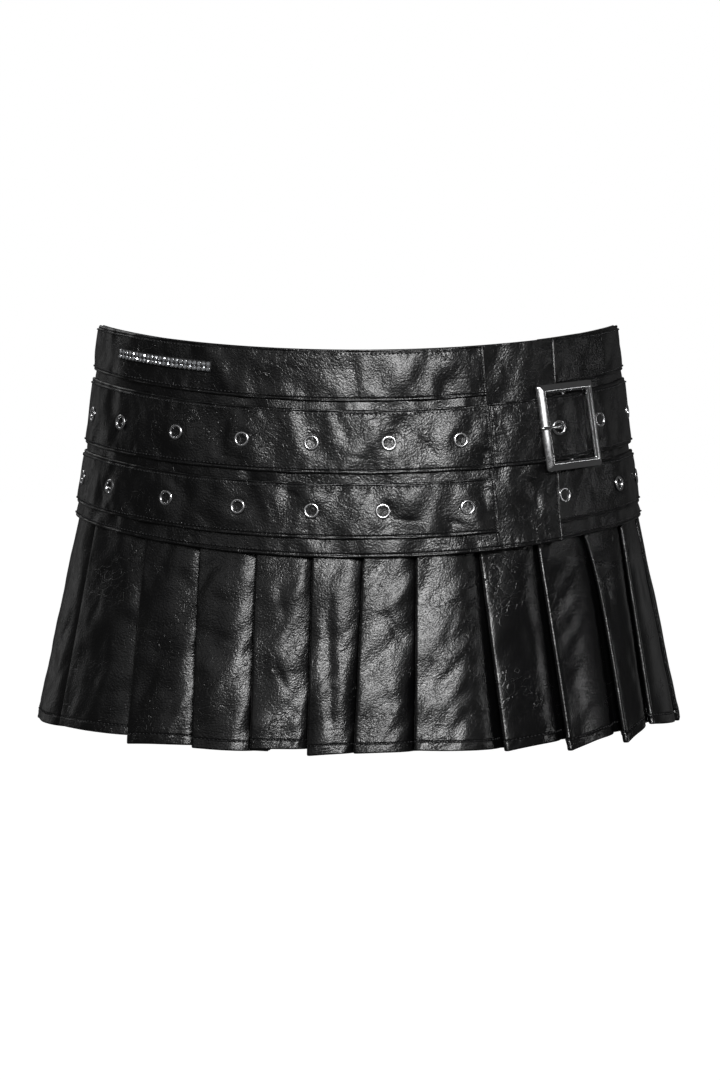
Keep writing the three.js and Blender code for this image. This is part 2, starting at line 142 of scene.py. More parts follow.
def cloth_shell(name, outer, inner, uv):
    """A closed shell of two (rows, columns, 3) grids that meet along their rim. Its outer face
    has material 0 and its inner face material 1."""
    rows, columns = outer.shape[:2]
    outside = np.arange(rows * columns).reshape(rows, columns)
    inside = outside.copy()
    inside[1:-1, 1:-1] = rows * columns + np.arange((rows - 2) * (columns - 2)).reshape(rows - 2, -1)
    points = np.concatenate([outer.reshape(-1, 3), inner[1:-1, 1:-1].reshape(-1, 3)])
    places = np.concatenate([uv.reshape(-1, 2), uv[1:-1, 1:-1].reshape(-1, 2)])
    faces = [(grid_quads(outside), 0), (grid_quads(inside)[:, ::-1], 1)]
    piece = make_piece(name, points, faces, places)
    print(name, ":", 4 * (rows - 1) * (columns - 1), "triangles")
    return piece

# %% [markdown]
# ## Turned edges, seams and creases
# Soft leather has no sharp corner: each edge is folded over, so its face rolls away in the
# last millimetre. A row of stitches pulls a shallow channel into it and puckers it. Wear adds
# long soft creases, which are listed below. All of these are small heights that are
# added to a panel's face before the mesh is made, so they are real shape and not a picture.

# %% Heights on the leather
# distances from an edge at which the grid has a line: close together in the rolled, sewn border
EDGE_STEPS = np.array([0, 0.1, 0.3, 0.65, 1.0, 1.3, 1.6, 1.9, 2.3, 2.9, 3.6])
EDGE_ROLL = 1.0
EDGE_SETTLED = 2.5
SEAM_CHANNEL = {"depth": 0.5, "width": 0.42}
LIP = {"from_edge": 0.9, "width": 0.45}
PUCKER = {"height": 0.23, "from_edge": 2, "reach": 4.5, "rhythm": 23}
# height share, millimetres for one radian, phase
PUCKER_WAVES = [(1, 1.75, 0), (0.8, 1.16, 1.3), (0.5, 0.73, 2.1)]
# height, millimetres round the body and down the cloth for one radian, phase
SLOW_WAVES = np.array([
    (0.308, 9.7, 14.0, 0.3), (0.242, 6.1, -8.5, 1.9), (0.176, -4.4, 7.1, 4.2),
    (0.154, 3.4, 4.3, 2.6), (0.11, -3, -5.2, 5.1),
])


def spread(length, step):
    """Distances from 0 to length: close together in the rolled edges, even in between."""
    first, last = EDGE_STEPS[-1], length - EDGE_STEPS[-1]
    count = max(2, round((last - first) / step))
    even = np.linspace(first, last, count + 1)[1:-1]
    return np.concatenate([EDGE_STEPS, even, length - EDGE_STEPS[::-1]])


def rolled(distance):
    """Share of the wall's half thickness at a distance from an edge: a quarter circle."""
    share = 1 - np.clip(distance / EDGE_ROLL, 0, 1)
    return np.sqrt(np.clip(1 - share**2, 0, 1))


def channel(distance, seam):
    """The dip along a row of stitches: -depth exp(-((distance - seam) / width)^2)."""
    return -SEAM_CHANNEL["depth"] * np.exp(-(((distance - seam) / SEAM_CHANNEL["width"]) ** 2))


def lip(distance, height):
    """The bead that a turned edge raises: height exp(-((distance - from_edge) / width)^2)."""
    return height * np.exp(-(((distance - LIP["from_edge"]) / LIP["width"]) ** 2))


def pucker(length, distance, reach):
    """Uneven ripples across a seam: three waves of 11, 7.3 and 4.6 mm that grow and shrink along
    the seam and fade with distance as exp(-(distance / reach)^2)."""
    waves = sum(high * np.sin(length / span + phase) for high, span, phase in PUCKER_WAVES)
    rhythm = 0.6 + 0.4 * np.sin(length / PUCKER["rhythm"] + 0.7)
    return PUCKER["height"] * waves * rhythm * np.exp(-((distance / reach) ** 2))


def unevenness(length, drop):
    """Five long slanting waves of 19 to 61 mm, which keep a panel from being a perfect tube."""
    height, round_body, down_cloth, phase = SLOW_WAVES.T
    waves = np.sin(length[..., None] / round_body + drop[..., None] / down_cloth + phase)
    return (height * waves).sum(axis=-1)


def creases(angle, drop, table):
    """Soft creases, one a row of the table: where its middle is, its length, its direction (0
    round the body, 90 down the cloth), how much it bends, its depth (a ridge if negative) and
    its width. Height = -depth exp(-(across / width)^2) (1 - (along / half)^2)^2."""
    height = np.zeros(np.broadcast_shapes(angle.shape, drop.shape))
    for at_angle, at_drop, length, direction, bend, depth, width in table:
        x = (angle - at_angle) * mm_per_degree(np.float64(at_angle), at_drop)
        y = drop - at_drop
        cos, sin = np.cos(np.radians(direction)), np.sin(np.radians(direction))
        taper = np.clip(1 - ((x * cos + y * sin) / (length / 2)) ** 2, 0, 1)
        across = y * cos - x * sin - bend * taper
        height -= depth * np.exp(-((across / width) ** 2)) * taper**2
    return height

# %% [markdown]
# ## The yoke, the placket and the bands
# The yoke is one hip piece that ends at the slanted wrap edge. A smooth placket panel comes
# out from under that edge and laps over the right side. On top sit the waistband and the two
# belts. All of them are the same kind of thing, a strip of the form between two drops and two
# edges, so one function makes them: the strips differ only in how far out their face lies.

# %% Where the panels lie
YOKE_WALL, BAND_WALL, SEAM_GAP = 1.3, 1.2, 0.3
BAND_OUT = SEAM_GAP + BAND_WALL
YOKE_BOTTOM = 122
LEFT_SEAM, SEAM_LAP = -90, 0.15
BACK_INSET = 3.1
PLACKET_OUT = 0.1
# angles of two slanted edges, at the waist and at the yoke's foot
WRAP_EDGE, PLACKET_EDGE = (28.1, 29.5), (48.6, 45.0)
# angles between which the placket, the tongue and the back come out to their own height
PLACKET_RISE, TONGUE_RISE, BACK_RISE = (30, 40), (40, 45), (54, 68)
TONGUE = {"end": 56, "out": 0.7, "arch": 2.8, "half": 6, "middle": 49.5}
# first and last drop, how far the face bulges, how far the top edge stands out
BANDS = {
    "waistband": (0, 31, 0.35, 0.5), "belt_1": (36, 74.4, 0.3, 0), "belt_2": (79, 112.3, 0.3, 0),
}


def ramp(x, start, end):
    """Smooth step: 0 before start, 1 after end, 3 t^2 - 2 t^3 between them."""
    t = np.clip((x - start) / (end - start), 0, 1)
    return t * t * (3 - 2 * t)


def mix(a, b, share):
    return a + (b - a) * share


def wrap_edge(drop):
    return mix(*WRAP_EDGE, drop / YOKE_BOTTOM)


def placket_edge(drop):
    return mix(*PLACKET_EDGE, drop / YOKE_BOTTOM)


def left_seam(drop):
    return LEFT_SEAM + 0 * drop


def seam_end(drop):
    """Once round the body from the left seam, and a little over it."""
    return LEFT_SEAM + 360 + SEAM_LAP / mm_per_degree(np.full_like(drop, LEFT_SEAM, dtype=float), drop)


def back_inset(angle):
    return -BACK_INSET * (1 - ramp(angle, *BACK_RISE))


def crown(band, drop):
    """A band's bulge, height 4 share (1 - share), and its top edge's lean, lean (1 - share)."""
    top, bottom, height, lean = BANDS[band]
    share = (drop - top) / (bottom - top)
    return height * 4 * share * (1 - share) + lean * (1 - share)


def placket_face(angle, drop):
    return mix(-YOKE_WALL - SEAM_GAP, PLACKET_OUT, ramp(angle, *PLACKET_RISE))


def tongue_face(angle, drop):
    """The tongue rests on the placket, then arches by a squared cosine over the buckle's bar."""
    away = np.clip(np.abs(angle - TONGUE["middle"]) / TONGUE["half"], 0, 1)
    arch = (TONGUE["arch"] - TONGUE["out"]) * np.cos(away * np.pi / 2) ** 2
    resting = placket_face(angle, drop) + SEAM_GAP
    return mix(resting, TONGUE["out"], ramp(angle, *TONGUE_RISE)) + arch + BAND_WALL


def band_front_face(band):
    return lambda angle, drop: BAND_OUT + crown(band, drop) + 0 * angle


def band_back_face(band):
    def face(angle, drop):
        rise = ramp(angle, PLACKET_EDGE[0], BACK_RISE[1])
        return back_inset(angle) + BAND_OUT + crown(band, drop) * rise
    return face

# %% One function for every flat panel
SEAM_IN = 1.6
LINE_POINTS = 400
# how deep and wide an eyelet presses the leather in, and the low rim of leather round it
DENT = {"depth": 0.45, "width": 4.6, "rim": 0.16, "rim_at": 8, "rim_width": 2.6}
cut_sizes = {}


def path_length(path):
    """Length along a path of points, from 0 at its start."""
    return np.concatenate([[0], np.cumsum(np.linalg.norm(np.diff(path, axis=0), axis=1))])


def dent(angle, drop, at_angle, at_drop):
    """Round an eyelet: -depth exp(-(reach / width)^2) + rim exp(-((reach - rim_at) / rim_width)^2)."""
    x = (angle - at_angle) * mm_per_degree(np.float64(at_angle), at_drop)
    reach = np.hypot(x, drop - at_drop)
    rim = DENT["rim"] * np.exp(-(((reach - DENT["rim_at"]) / DENT["rim_width"]) ** 2))
    return rim - DENT["depth"] * np.exp(-((reach / DENT["width"]) ** 2))


def panel(name, drops, left, right, face, wall, steps, seams=(), table=(), dents=(), lips=(), relief=1.0):
    """A strip of the form: its columns run from left(drop) to right(drop) and its rows between
    two drops. steps are the grid's spacing along and down. seams names the edges with a row of
    stitches, table holds creases, dents are the angles and drops of eyelets, and lips are edges
    with the height of their bead."""
    top, bottom = drops
    down = spread(bottom - top, steps[1])
    drop = (top + down)[:, None]
    start, end = left(drop), right(drop)
    half_way = len(down) // 2
    line = form_point(np.linspace(start[half_way, 0], end[half_way, 0], LINE_POINTS), (top + bottom) / 2)
    lengths = path_length(line)
    width = float(lengths[-1])
    along = spread(width, steps[0])[None, :]
    angle = start + (end - start) * np.interp(along, lengths, np.linspace(0, 1, LINE_POINTS))
    length, drop = along + 0 * drop, drop + 0 * along
    edges = {"top": drop - top, "bottom": bottom - drop, "left": length, "right": width - length}
    height = relief * unevenness(length, drop) + creases(angle, drop, table)
    for seam in seams:
        run = length if seam in ("top", "bottom") else drop
        ripples = pucker(run + 40 * len(name), edges[seam] - PUCKER["from_edge"], PUCKER["reach"])
        height = height + channel(edges[seam], SEAM_IN) + relief * ripples
    for at_angle, at_drop in dents:
        height = height + dent(angle, drop, at_angle, at_drop)
    nearest = np.minimum.reduce(list(edges.values()))
    bead = sum(lip(edges[edge], high) for edge, high in lips) * ramp(nearest, 0, 0.5)
    middle = face(angle, drop) - wall / 2
    half_wall = rolled(nearest) * wall / 2
    outer = form_point(angle, drop, middle + half_wall + height * ramp(nearest, 0, EDGE_SETTLED) + bead)
    inner = form_point(angle, drop, middle - half_wall)
    uv = np.stack([length + 37 * len(cut_sizes), drop], axis=-1) * MM
    cut_sizes[name] = (width * MM, (bottom - top) * MM)
    return cloth_shell(name, outer, inner, uv), {"points": outer, "edges": edges}

# %% [markdown]
# ### Creases listed one by one
# The leather is a coated hide that keeps every fold it has had. On the front the deepest
# creases run between the eyelets and out from them; the waistband and the strips at the
# stitching have short upright ones. The sides and back get the same kinds, unevenly spaced.

# %% Tables of creases
# angle, drop, length, direction, bend, depth, width
CREASES = {
    "waistband_front": [
        (-72, 17, 22, 80, 1.5, 0.35, 2.2), (-54, 22, 16, 62, -1, 0.2, 1.6), (-47, 9, 14, 25, 1, 0.2, 1.4),
        (-28, 14, 26, 84, 2, 0.3, 2.6), (-21, 20, 18, 70, -1.5, 0.25, 1.8), (-14, 11, 20, 15, 1, 0.2, 1.5),
        (-5, 17, 24, 75, 2, 0.35, 2.4), (3, 21, 15, 40, 1, 0.2, 1.3), (9, 12, 22, 82, -2, 0.3, 2.2),
        (15, 18, 24, 66, 1.5, 0.35, 1.9), (22, 14, 18, 88, 1, 0.3, 1.8), (26, 20, 12, 30, 1, 0.2, 1.3),
    ],
    "belt_1_front": [
        (-82, 50, 24, 75, 2, 0.3, 2.2), (-69, 62, 18, 20, 1, 0.2, 1.5), (-61, 64, 22, 112, 1.5, 0.35, 1.7),
        (-52, 48, 26, 66, -2, 0.3, 2.2), (-46, 60, 15, 35, 1, 0.2, 1.2), (-33, 52, 28, 80, 2.5, 0.35, 2.6),
        (-29, 66, 16, 10, 1, 0.2, 1.3), (-17, 47, 24, 60, -2, 0.3, 1.9), (-14, 62, 19, 125, 1.5, 0.3, 1.6),
        (-2, 50, 27, 78, 2, 0.4, 2.4), (0, 64, 22, 8, 1, 0.25, 1.5), (12, 46, 20, 100, 1.5, 0.3, 1.9),
        (14, 60, 24, 52, -2, 0.35, 1.8), (25, 50, 22, 84, 2, 0.35, 2), (27.5, 63, 12, 115, 1, 0.3, 1.4),
    ],
    "belt_1_tongue": [
        (33, 50, 24, 82, 1.5, 0.35, 1.7), (36.5, 58, 20, 65, -1.5, 0.3, 1.6), (39, 47, 14, 20, 1, 0.25, 1.4),
        (41, 62, 16, 110, 1, 0.3, 1.5), (52, 48, 12, 75, 1, 0.25, 1.3), (53, 63, 12, 60, -1, 0.25, 1.2),
    ],
    "belt_1_back": [
        (70, 50, 24, 80, 2, 0.3, 2.4), (91, 60, 20, 110, 1, 0.3, 1.8), (108, 48, 26, 70, -2, 0.35, 2.4),
        (121, 62, 18, 15, 1, 0.2, 1.5), (139, 55, 27, 84, 2, 0.35, 2.3), (151, 47, 16, 40, 1, 0.2, 1.4),
        (168, 58, 24, 62, 2, 0.3, 2), (185, 50, 22, 96, -1.5, 0.3, 2), (197, 64, 20, 12, 1, 0.25, 1.5),
        (214, 52, 28, 74, 2, 0.35, 2.5), (229, 60, 18, 118, 1, 0.25, 1.6), (248, 49, 24, 85, -2, 0.3, 2.2),
    ],
    "belt_2_front": [
        (-84, 96, 22, 84, 1, 0.3, 2), (-72, 88, 18, 30, 1, 0.2, 1.5), (-65, 98, 26, 60, 2, 0.4, 1.5),
        (-60, 104, 18, 130, -1, 0.35, 1.3), (-57, 88, 18, 35, 1, 0.35, 1.3), (-50, 97, 24, 74, -2, 0.35, 2),
        (-46, 104, 14, 15, 1, 0.25, 1.3), (-36, 92, 27, 82, 2, 0.4, 2.5), (-33, 103, 18, 40, 1, 0.25, 1.5),
        (-18, 96, 26, 68, -2, 0.4, 2.2), (-13, 86, 20, 20, 1, 0.25, 1.5), (-3, 98, 24, 100, 2, 0.35, 2),
        (1, 88, 16, 45, 1, 0.25, 1.3), (10, 100, 26, 6, 1.5, 0.35, 1.8), (14, 90, 20, 70, -1.5, 0.3, 1.7),
        (19, 103, 22, 14, 1, 0.3, 1.6), (26.5, 92, 18, 86, 1, 0.35, 1.6),
    ],
    "belt_2_back": [
        (58, 94, 22, 78, 1.5, 0.3, 2), (76, 100, 20, 20, 1, 0.25, 1.6), (99, 90, 26, 82, 2, 0.35, 2.4),
        (117, 101, 18, 118, 1, 0.25, 1.6), (134, 93, 24, 64, -2, 0.35, 2.2), (150, 87, 18, 10, 1, 0.2, 1.4),
        (163, 98, 26, 84, 2, 0.35, 2.4), (179, 92, 20, 48, 1, 0.25, 1.5), (196, 100, 22, 104, -1.5, 0.3, 1.9),
        (211, 90, 25, 72, 2, 0.35, 2.2), (228, 102, 17, 18, 1, 0.2, 1.5), (243, 93, 24, 80, -1.5, 0.3, 2.2),
        (259, 98, 20, 110, 1, 0.3, 1.8),
    ],
    "waistband_back": [
        (56, 15, 20, 82, 1, 0.3, 2), (78, 18, 17, 60, 1, 0.2, 1.7), (97, 13, 22, 86, 1.5, 0.3, 2.2),
        (119, 20, 18, 20, 1, 0.2, 1.5), (140, 14, 22, 74, -1.5, 0.3, 2.2), (161, 17, 20, 95, 1, 0.25, 1.9),
        (183, 12, 24, 78, 2, 0.35, 2.4), (204, 19, 16, 30, 1, 0.2, 1.4), (225, 14, 22, 84, -1, 0.3, 2.1),
        (247, 17, 20, 66, 1, 0.25, 1.9),
    ],
    "placket_panel": [
        (34, 16, 20, 84, 1, 0.3, 1.6), (40, 20, 16, 30, 1, 0.25, 1.5), (43, 12, 18, 100, 1, 0.25, 1.7),
        (33, 90, 18, 70, 1.5, 0.35, 1.5), (35, 98, 20, 115, -1.5, 0.35, 1.4), (38, 84, 17, 40, 1, 0.3, 1.4),
        (40, 96, 22, 75, 2, 0.4, 1.8), (43, 88, 16, 120, 1, 0.3, 1.3), (37, 108, 18, 50, 1, 0.35, 1.6),
        (42, 106, 14, 95, -1, 0.3, 1.3), (34, 116, 12, 20, 1, 0.25, 1.3),
    ],
    "yoke_front": [
        (-74, 117, 9, 80, 0.5, 0.3, 1.4), (-58, 117, 8, 95, 0.5, 0.25, 1.2),
        (-41, 117, 9, 75, 0.5, 0.35, 1.4),
        (-35, 117, 8, 100, 0.5, 0.3, 1.1), (-32, 117, 9, 82, 0.5, 0.35, 1.2),
        (-28, 117, 8, 70, 0.5, 0.3, 1.1),
        (-20, 117, 9, 92, 0.5, 0.35, 1.3), (-15, 117, 8, 78, 0.5, 0.3, 1.1),
        (-11, 117, 9, 104, 0.5, 0.3, 1.3),
        (-5, 117, 8, 84, 0.5, 0.3, 1.2), (3, 117, 10, 60, 0.5, 0.35, 1.5), (18, 117, 9, 88, 0.5, 0.3, 1.6),
    ],
    "yoke_back": [
        (60, 117, 9, 82, 0.5, 0.3, 1.4), (88, 117, 8, 96, 0.5, 0.3, 1.2), (112, 117, 9, 74, 0.5, 0.35, 1.4),
        (133, 117, 9, 88, 0.5, 0.3, 1.3), (156, 117, 8, 100, 0.5, 0.3, 1.2),
        (178, 117, 9, 80, 0.5, 0.35, 1.4),
        (201, 117, 9, 92, 0.5, 0.3, 1.3), (223, 117, 8, 70, 0.5, 0.3, 1.2), (246, 117, 9, 86, 0.5, 0.3, 1.4),
    ],
}
print(sum(len(rows) for rows in CREASES.values()), "creases on the yoke and bands")

# %% [markdown]
# ### Finding the eyelets
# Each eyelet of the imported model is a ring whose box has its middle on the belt. The nearest
# point of the belt's face to that middle gives its angle, which the dents in the leather and
# the fine rings both need.

# %% Angles of the eyelets
FACES = {
    "belt_1_front": band_front_face("belt_1"), "belt_1_back": band_back_face("belt_1"),
    "belt_1_tongue": tongue_face,
    "belt_2_front": band_front_face("belt_2"), "belt_2_back": band_back_face("belt_2"),
}
EYELETS_LOW = {"belt_1_front": 1}  # how far a strip's eyelets lie below the middle of its belt
fine_turn = np.arange(-90, 270, 0.02)
eyelets = {strip: [] for strip in FACES}
for node in sorted(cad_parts):
    if not node.startswith("eyelet_"):
        continue
    strip = node[len("eyelet_"):].rsplit("_", 1)[0]
    low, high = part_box(node)
    middle = (np.array(low) + np.array(high)) / 2 / MM
    top, bottom, *_ = BANDS[strip[:6]]
    drop = (top + bottom) / 2 + EYELETS_LOW.get(strip, 0)
    on_face = form_point(fine_turn, drop, FACES[strip](fine_turn, drop))
    nearest = np.linalg.norm(on_face - middle, axis=1).argmin()
    eyelets[strip].append((node, fine_turn[nearest], drop))
print({strip: len(found) for strip, found in eyelets.items()})

# %% Make the panels
YOKE = (0, YOKE_BOTTOM)
UNDERLAP, BAND_UNDERLAP = 4.5, 1.5  # degrees that a piece runs on under the edge over it
TONGUE_GAP = 0.12
panels, surfaces = {}, {}


def add_panel(node, *shape, **options):
    dents = [(angle, drop) for _, angle, drop in eyelets.get(node, ())]
    panels[node], surfaces[node] = panel(
        "leather_" + node, *shape, table=CREASES[node], dents=dents, **options)


add_panel("yoke_front", YOKE, left_seam, wrap_edge, lambda angle, drop: 0 * angle, YOKE_WALL,
          (2.2, 1.7), seams=("bottom", "right"))
add_panel("yoke_back", YOKE, lambda drop: placket_edge(drop) - UNDERLAP, seam_end,
          lambda angle, drop: back_inset(angle), YOKE_WALL, (2.8, 1.7), seams=("bottom",))
add_panel("placket_panel", YOKE, lambda drop: wrap_edge(drop) - UNDERLAP, placket_edge,
          placket_face, BAND_WALL, (1.1, 1.2), seams=("right", "bottom"), lips=[("right", 0.5)])
for band, (top, bottom, *_) in BANDS.items():
    add_panel(band + "_front", (top, bottom), left_seam, wrap_edge, band_front_face(band),
              BAND_WALL, (1.7, 0.8), seams=("top", "bottom", "right"), lips=[("right", 0.25)])
    add_panel(band + "_back", (top, bottom), lambda drop: placket_edge(drop) - BAND_UNDERLAP,
              seam_end, band_back_face(band), BAND_WALL, (2.2, 0.9), seams=("top", "bottom"))
add_panel("belt_1_tongue", BANDS["belt_1"][:2], lambda drop: wrap_edge(drop) + TONGUE_GAP,
          lambda drop: TONGUE["end"] + 0 * drop, tongue_face, BAND_WALL, (1.0, 0.8),
          seams=("top", "bottom", "left"), lips=[("left", 0.3)], relief=0.6)

# %% [markdown]
# ## The knife pleats
# Below the yoke the leather is folded into knife pleats, twelve in front and fourteen behind.
# Seen from above, a pleat's course runs round an outer fold, across its face, in under the
# next pleat, round an inner fold and back. So the skirt is one sheet that follows this course
# at every level, and the course itself changes from tight at the yoke to open at the hem.

# %% The pleats' table
# outer fold at the yoke, at the hem, how far it stands out, its roll, how much lower the hem
# hangs at the fold and at the far end of the face, and how far the fold's line bows
PLEATS = np.array([
    (-83, -82, 1, 1, -1.5, -0.5, 0), (-68.1, -66.1, 1.5, 0.5, -2, -2, 0), (-48.1, -44.7, 0, 1, 2.4, 0, 0),
    (-33.5, -30, 1, 0.5, 1, 1.2, 0), (-20.7, -18.9, 0, 0, -0.4, -1.1, 0), (-9, -8.8, -1, 3, 2.6, 0.9, 0),
    (1.2, -0.7, 0, 0.5, 0.9, 0.3, 0), (11.8, 9.8, 0.5, 2, -0.5, 0.8, 0), (25.2, 26.3, 1.5, 0, 2.2, -1, 0),
    (39.4, 39.4, 2.5, -0.5, 5, -1, 0), (51.2, 53.7, 3.5, -1, 4.5, -2.5, 3), (69, 64.5, 1, 1.5, -3, 0, 0),
    (84, 85, 1, 0.5, 1, 0, 0), (100, 99.5, 1.5, 1, 2, 0, 0), (115.5, 117, 0, 2, 0, 0, 0),
    (130, 130.5, 1.5, 0, 2, 0, 0), (143.5, 142.5, 0.5, 1, 1, 0, 0), (156.3, 157, 1, 3, 2, 0, 0),
    (168.7, 169.5, 0, 0.5, 0, 0, 0), (180.8, 180, 2, 0, 3, 0, 0), (193, 194, 0.5, 2, 1, 0, 0),
    (205.3, 205, 1, 1, 2, 0, 0), (218.2, 219.5, 2, 0, 2, 0, 0), (232, 231, 0, 1.5, 0, 0, 0),
    (246.6, 247, 1, 0.5, 1, 0, 0), (262, 262.5, 0.5, 1, 1, 0, 0),
])
PLEATS_IN_FRONT = 12
PLEAT_TOP, PLEAT_HEM, PLEAT_WALL = 113, 246, 1.2

# %% Creases and soft dents of the pleats
# angle, drop, length, direction, bend, depth, width
PLEAT_CREASES = [
    (-4.6, 190, 120, 87, 3, 1.5, 4.2),
    (-76, 150, 40, 75, 3, 0.5, 2.2), (-74, 186, 34, 112, -2, 0.4, 1.8), (-71, 214, 30, 120, 2, 0.4, 1.8),
    (-60, 160, 44, 82, 3, 0.6, 5), (-56, 214, 34, 45, 2, 0.5, 2), (-51, 192, 26, 60, -2, 0.3, 2),
    (-41, 140, 22, 60, 1, 0.3, 2), (-38, 196, 62, 118, 4, 1.1, 5), (-34, 220, 34, 120, 2, 0.7, 3),
    (-42, 226, 16, 40, 1, 0.4, 1.6), (-27, 150, 26, 12, 3, 0.5, 4), (-25, 176, 30, 25, 2, 0.35, 2.4),
    (-26, 205, 26, 160, 2, 0.3, 2.4), (-14.5, 150, 34, 80, 2, 0.5, 3), (-13.5, 200, 36, 65, 2, 0.6, 2),
    (-11, 222, 26, 40, 1, 0.5, 1.7), (-12, 232, 18, 8, 1, 0.3, 1.4), (-5, 150, 12, 105, 1, 0.5, 1.3),
    (-2.5, 172, 24, 150, 2, 0.35, 1.5), (-4, 196, 20, 70, 1, 0.35, 1.4), (-1, 193, 22, 155, 2, 0.45, 1.3),
    (-3, 207, 26, 25, 2, 0.4, 1.6), (-1.5, 214, 30, 5, 2, 0.5, 1.4), (-4.5, 224, 20, 85, 1, 0.4, 1.5),
    (5, 150, 24, 130, 2, 0.5, 2), (7, 165, 30, 60, 2, 0.6, 2), (4, 158, 14, 5, 1, 0.4, 1.3),
    (8, 180, 26, 118, 1, 0.5, 1.7), (6, 214, 30, 70, 2, 0.4, 2), (15, 150, 30, 75, 2, 0.5, 3),
    (18, 172, 34, 110, 3, 0.6, 2.4), (15, 200, 36, 84, 2, 0.5, 3), (20, 224, 24, 60, 1, 0.4, 2),
    (29, 140, 26, 100, 2, 0.4, 2.4), (33, 180, 50, 86, 2, 0.4, 4), (44, 170, 60, 88, 3, 0.5, 5),
    (58, 165, 50, 98, 3, 0.7, 4), (62, 205, 44, 84, 2, 0.5, 4), (76, 160, 44, 84, 3, 0.5, 4),
    (92, 175, 50, 92, -3, 0.5, 4), (107, 160, 36, 70, 2, 0.5, 3), (108, 205, 30, 115, 2, 0.4, 2.4),
    (122, 180, 48, 84, 3, 0.5, 4), (136, 155, 30, 60, 2, 0.4, 2.4), (137, 205, 40, 100, -2, 0.5, 3),
    (149, 175, 44, 80, 3, 0.5, 3.4), (162, 160, 34, 112, 2, 0.5, 3), (163, 210, 30, 40, 2, 0.4, 2),
    (174, 180, 50, 86, 3, 0.6, 4), (187, 158, 30, 66, -2, 0.4, 2.4), (188, 206, 36, 118, 2, 0.5, 2.6),
    (199, 176, 44, 82, 3, 0.5, 3.6), (211, 165, 36, 106, 2, 0.5, 3), (212, 214, 26, 30, 1, 0.4, 2),
    (225, 182, 50, 84, -3, 0.5, 4), (239, 160, 32, 72, 2, 0.4, 2.6), (240, 208, 34, 114, 2, 0.5, 2.6),
    (254, 178, 46, 86, 3, 0.5, 4), (268, 190, 40, 100, 2, 0.4, 3),
]

# %% The course of one pleat
# the outer fold's and the hidden layer's offset, the fold's radius, the depth under the next
FOLD_TOP = (-2.7, -6.1, 0.95, 11)
FOLD_HEM = (0, -8, 1.4, 10)
FACE_COLUMNS = 26
FALL_MILD = 0.3  # share of the fall that is spread over the face; the rest is at its far end


def half_circle(points):
    return np.radians(np.linspace(-90, 90, points))[None, :]


def pleat_course(here, following, level, ends):
    """One pleat's course at each level, as angles, offsets, drop added and share of the face,
    from its row of the table and the next one's. Where the sheet ends, the course stops before
    the inner fold. The folds are half circles, angle = centre -+ bend cos(t) and out = middle +
    radius sin(t). The face sinks mildly with the square of its share and steeply with its 7th
    power, and bulges by roll 4 share (1 - share). The fold's line bows by bow sin(pi sqrt(level))."""
    outer, under, radius, depth = (mix(a, b, level) for a, b in zip(FOLD_TOP, FOLD_HEM))
    bowed = np.sin(np.pi * np.sqrt(level))
    start, after = (mix(row[0], row[1], level) + row[6] * bowed for row in (here, following))
    one_degree = mm_per_degree(after, mix(PLEAT_TOP, PLEAT_HEM, level))
    bend = radius / one_degree
    inner = after + depth / one_degree - bend
    out, out_after = outer + here[2] * level, outer + following[2] * level
    low, far, low_after = here[4] * level**3, here[5] * level**3, following[4] * level**3
    low_inside = mix(far, low_after, 0.5)
    turn, inner_turn = half_circle(9), half_circle(7)[:, 1:]
    share = 1 - (1 - np.linspace(0, 1, FACE_COLUMNS + 1)[None, 1:]) ** 1.25
    fall = FALL_MILD * share**2 + (1 - FALL_MILD) * share**7
    bulge = here[3] * level * 4 * share * (1 - share)
    run, back_run = np.linspace(0, 1, 4)[None, 1:], np.linspace(0, 1, 6)[None, 1:-1]
    parts = [
        (start + bend * (1 - np.cos(turn)), out - radius + radius * np.sin(turn), low, 0),
        (mix(start + bend, after, share), mix(out, under, fall) + bulge,
         mix(low, far, 1 - (1 - share) ** 2), share),
        (mix(after, inner, run), under, far, 0),
    ]
    if not ends:
        parts += [
            (inner + bend * np.cos(inner_turn), under + radius + radius * np.sin(inner_turn),
             low_inside, 0),
            (mix(inner, after + bend, back_run),
             mix(under + 2 * radius, out_after - 2 * radius, back_run),
             mix(low_inside, low_after, back_run), 0),
        ]
    parts = [np.broadcast_arrays(*columns) for columns in parts]
    return [np.concatenate(columns, axis=1) for columns in zip(*parts)]

# %% The pleated sheets
# distances from the hem at which the grid has a line
HEM_STEPS = np.array([0, 0.1, 0.3, 0.65, 1.1, 1.7, 2.8, 4.1, 4.9, 5.4, 5.8, 6.2, 6.6, 7.2, 8.2, 9.8])
HEM_SEAM, HEM_PUCKER_REACH = 6, 4
LEVELS_ABOVE = 51
# the pleats right of the wrap start lower, between these angles and by this much at the yoke
TUCK_RISE, TUCK = (17, 25), 3.2
PLEAT_UNEVENNESS = 0.6


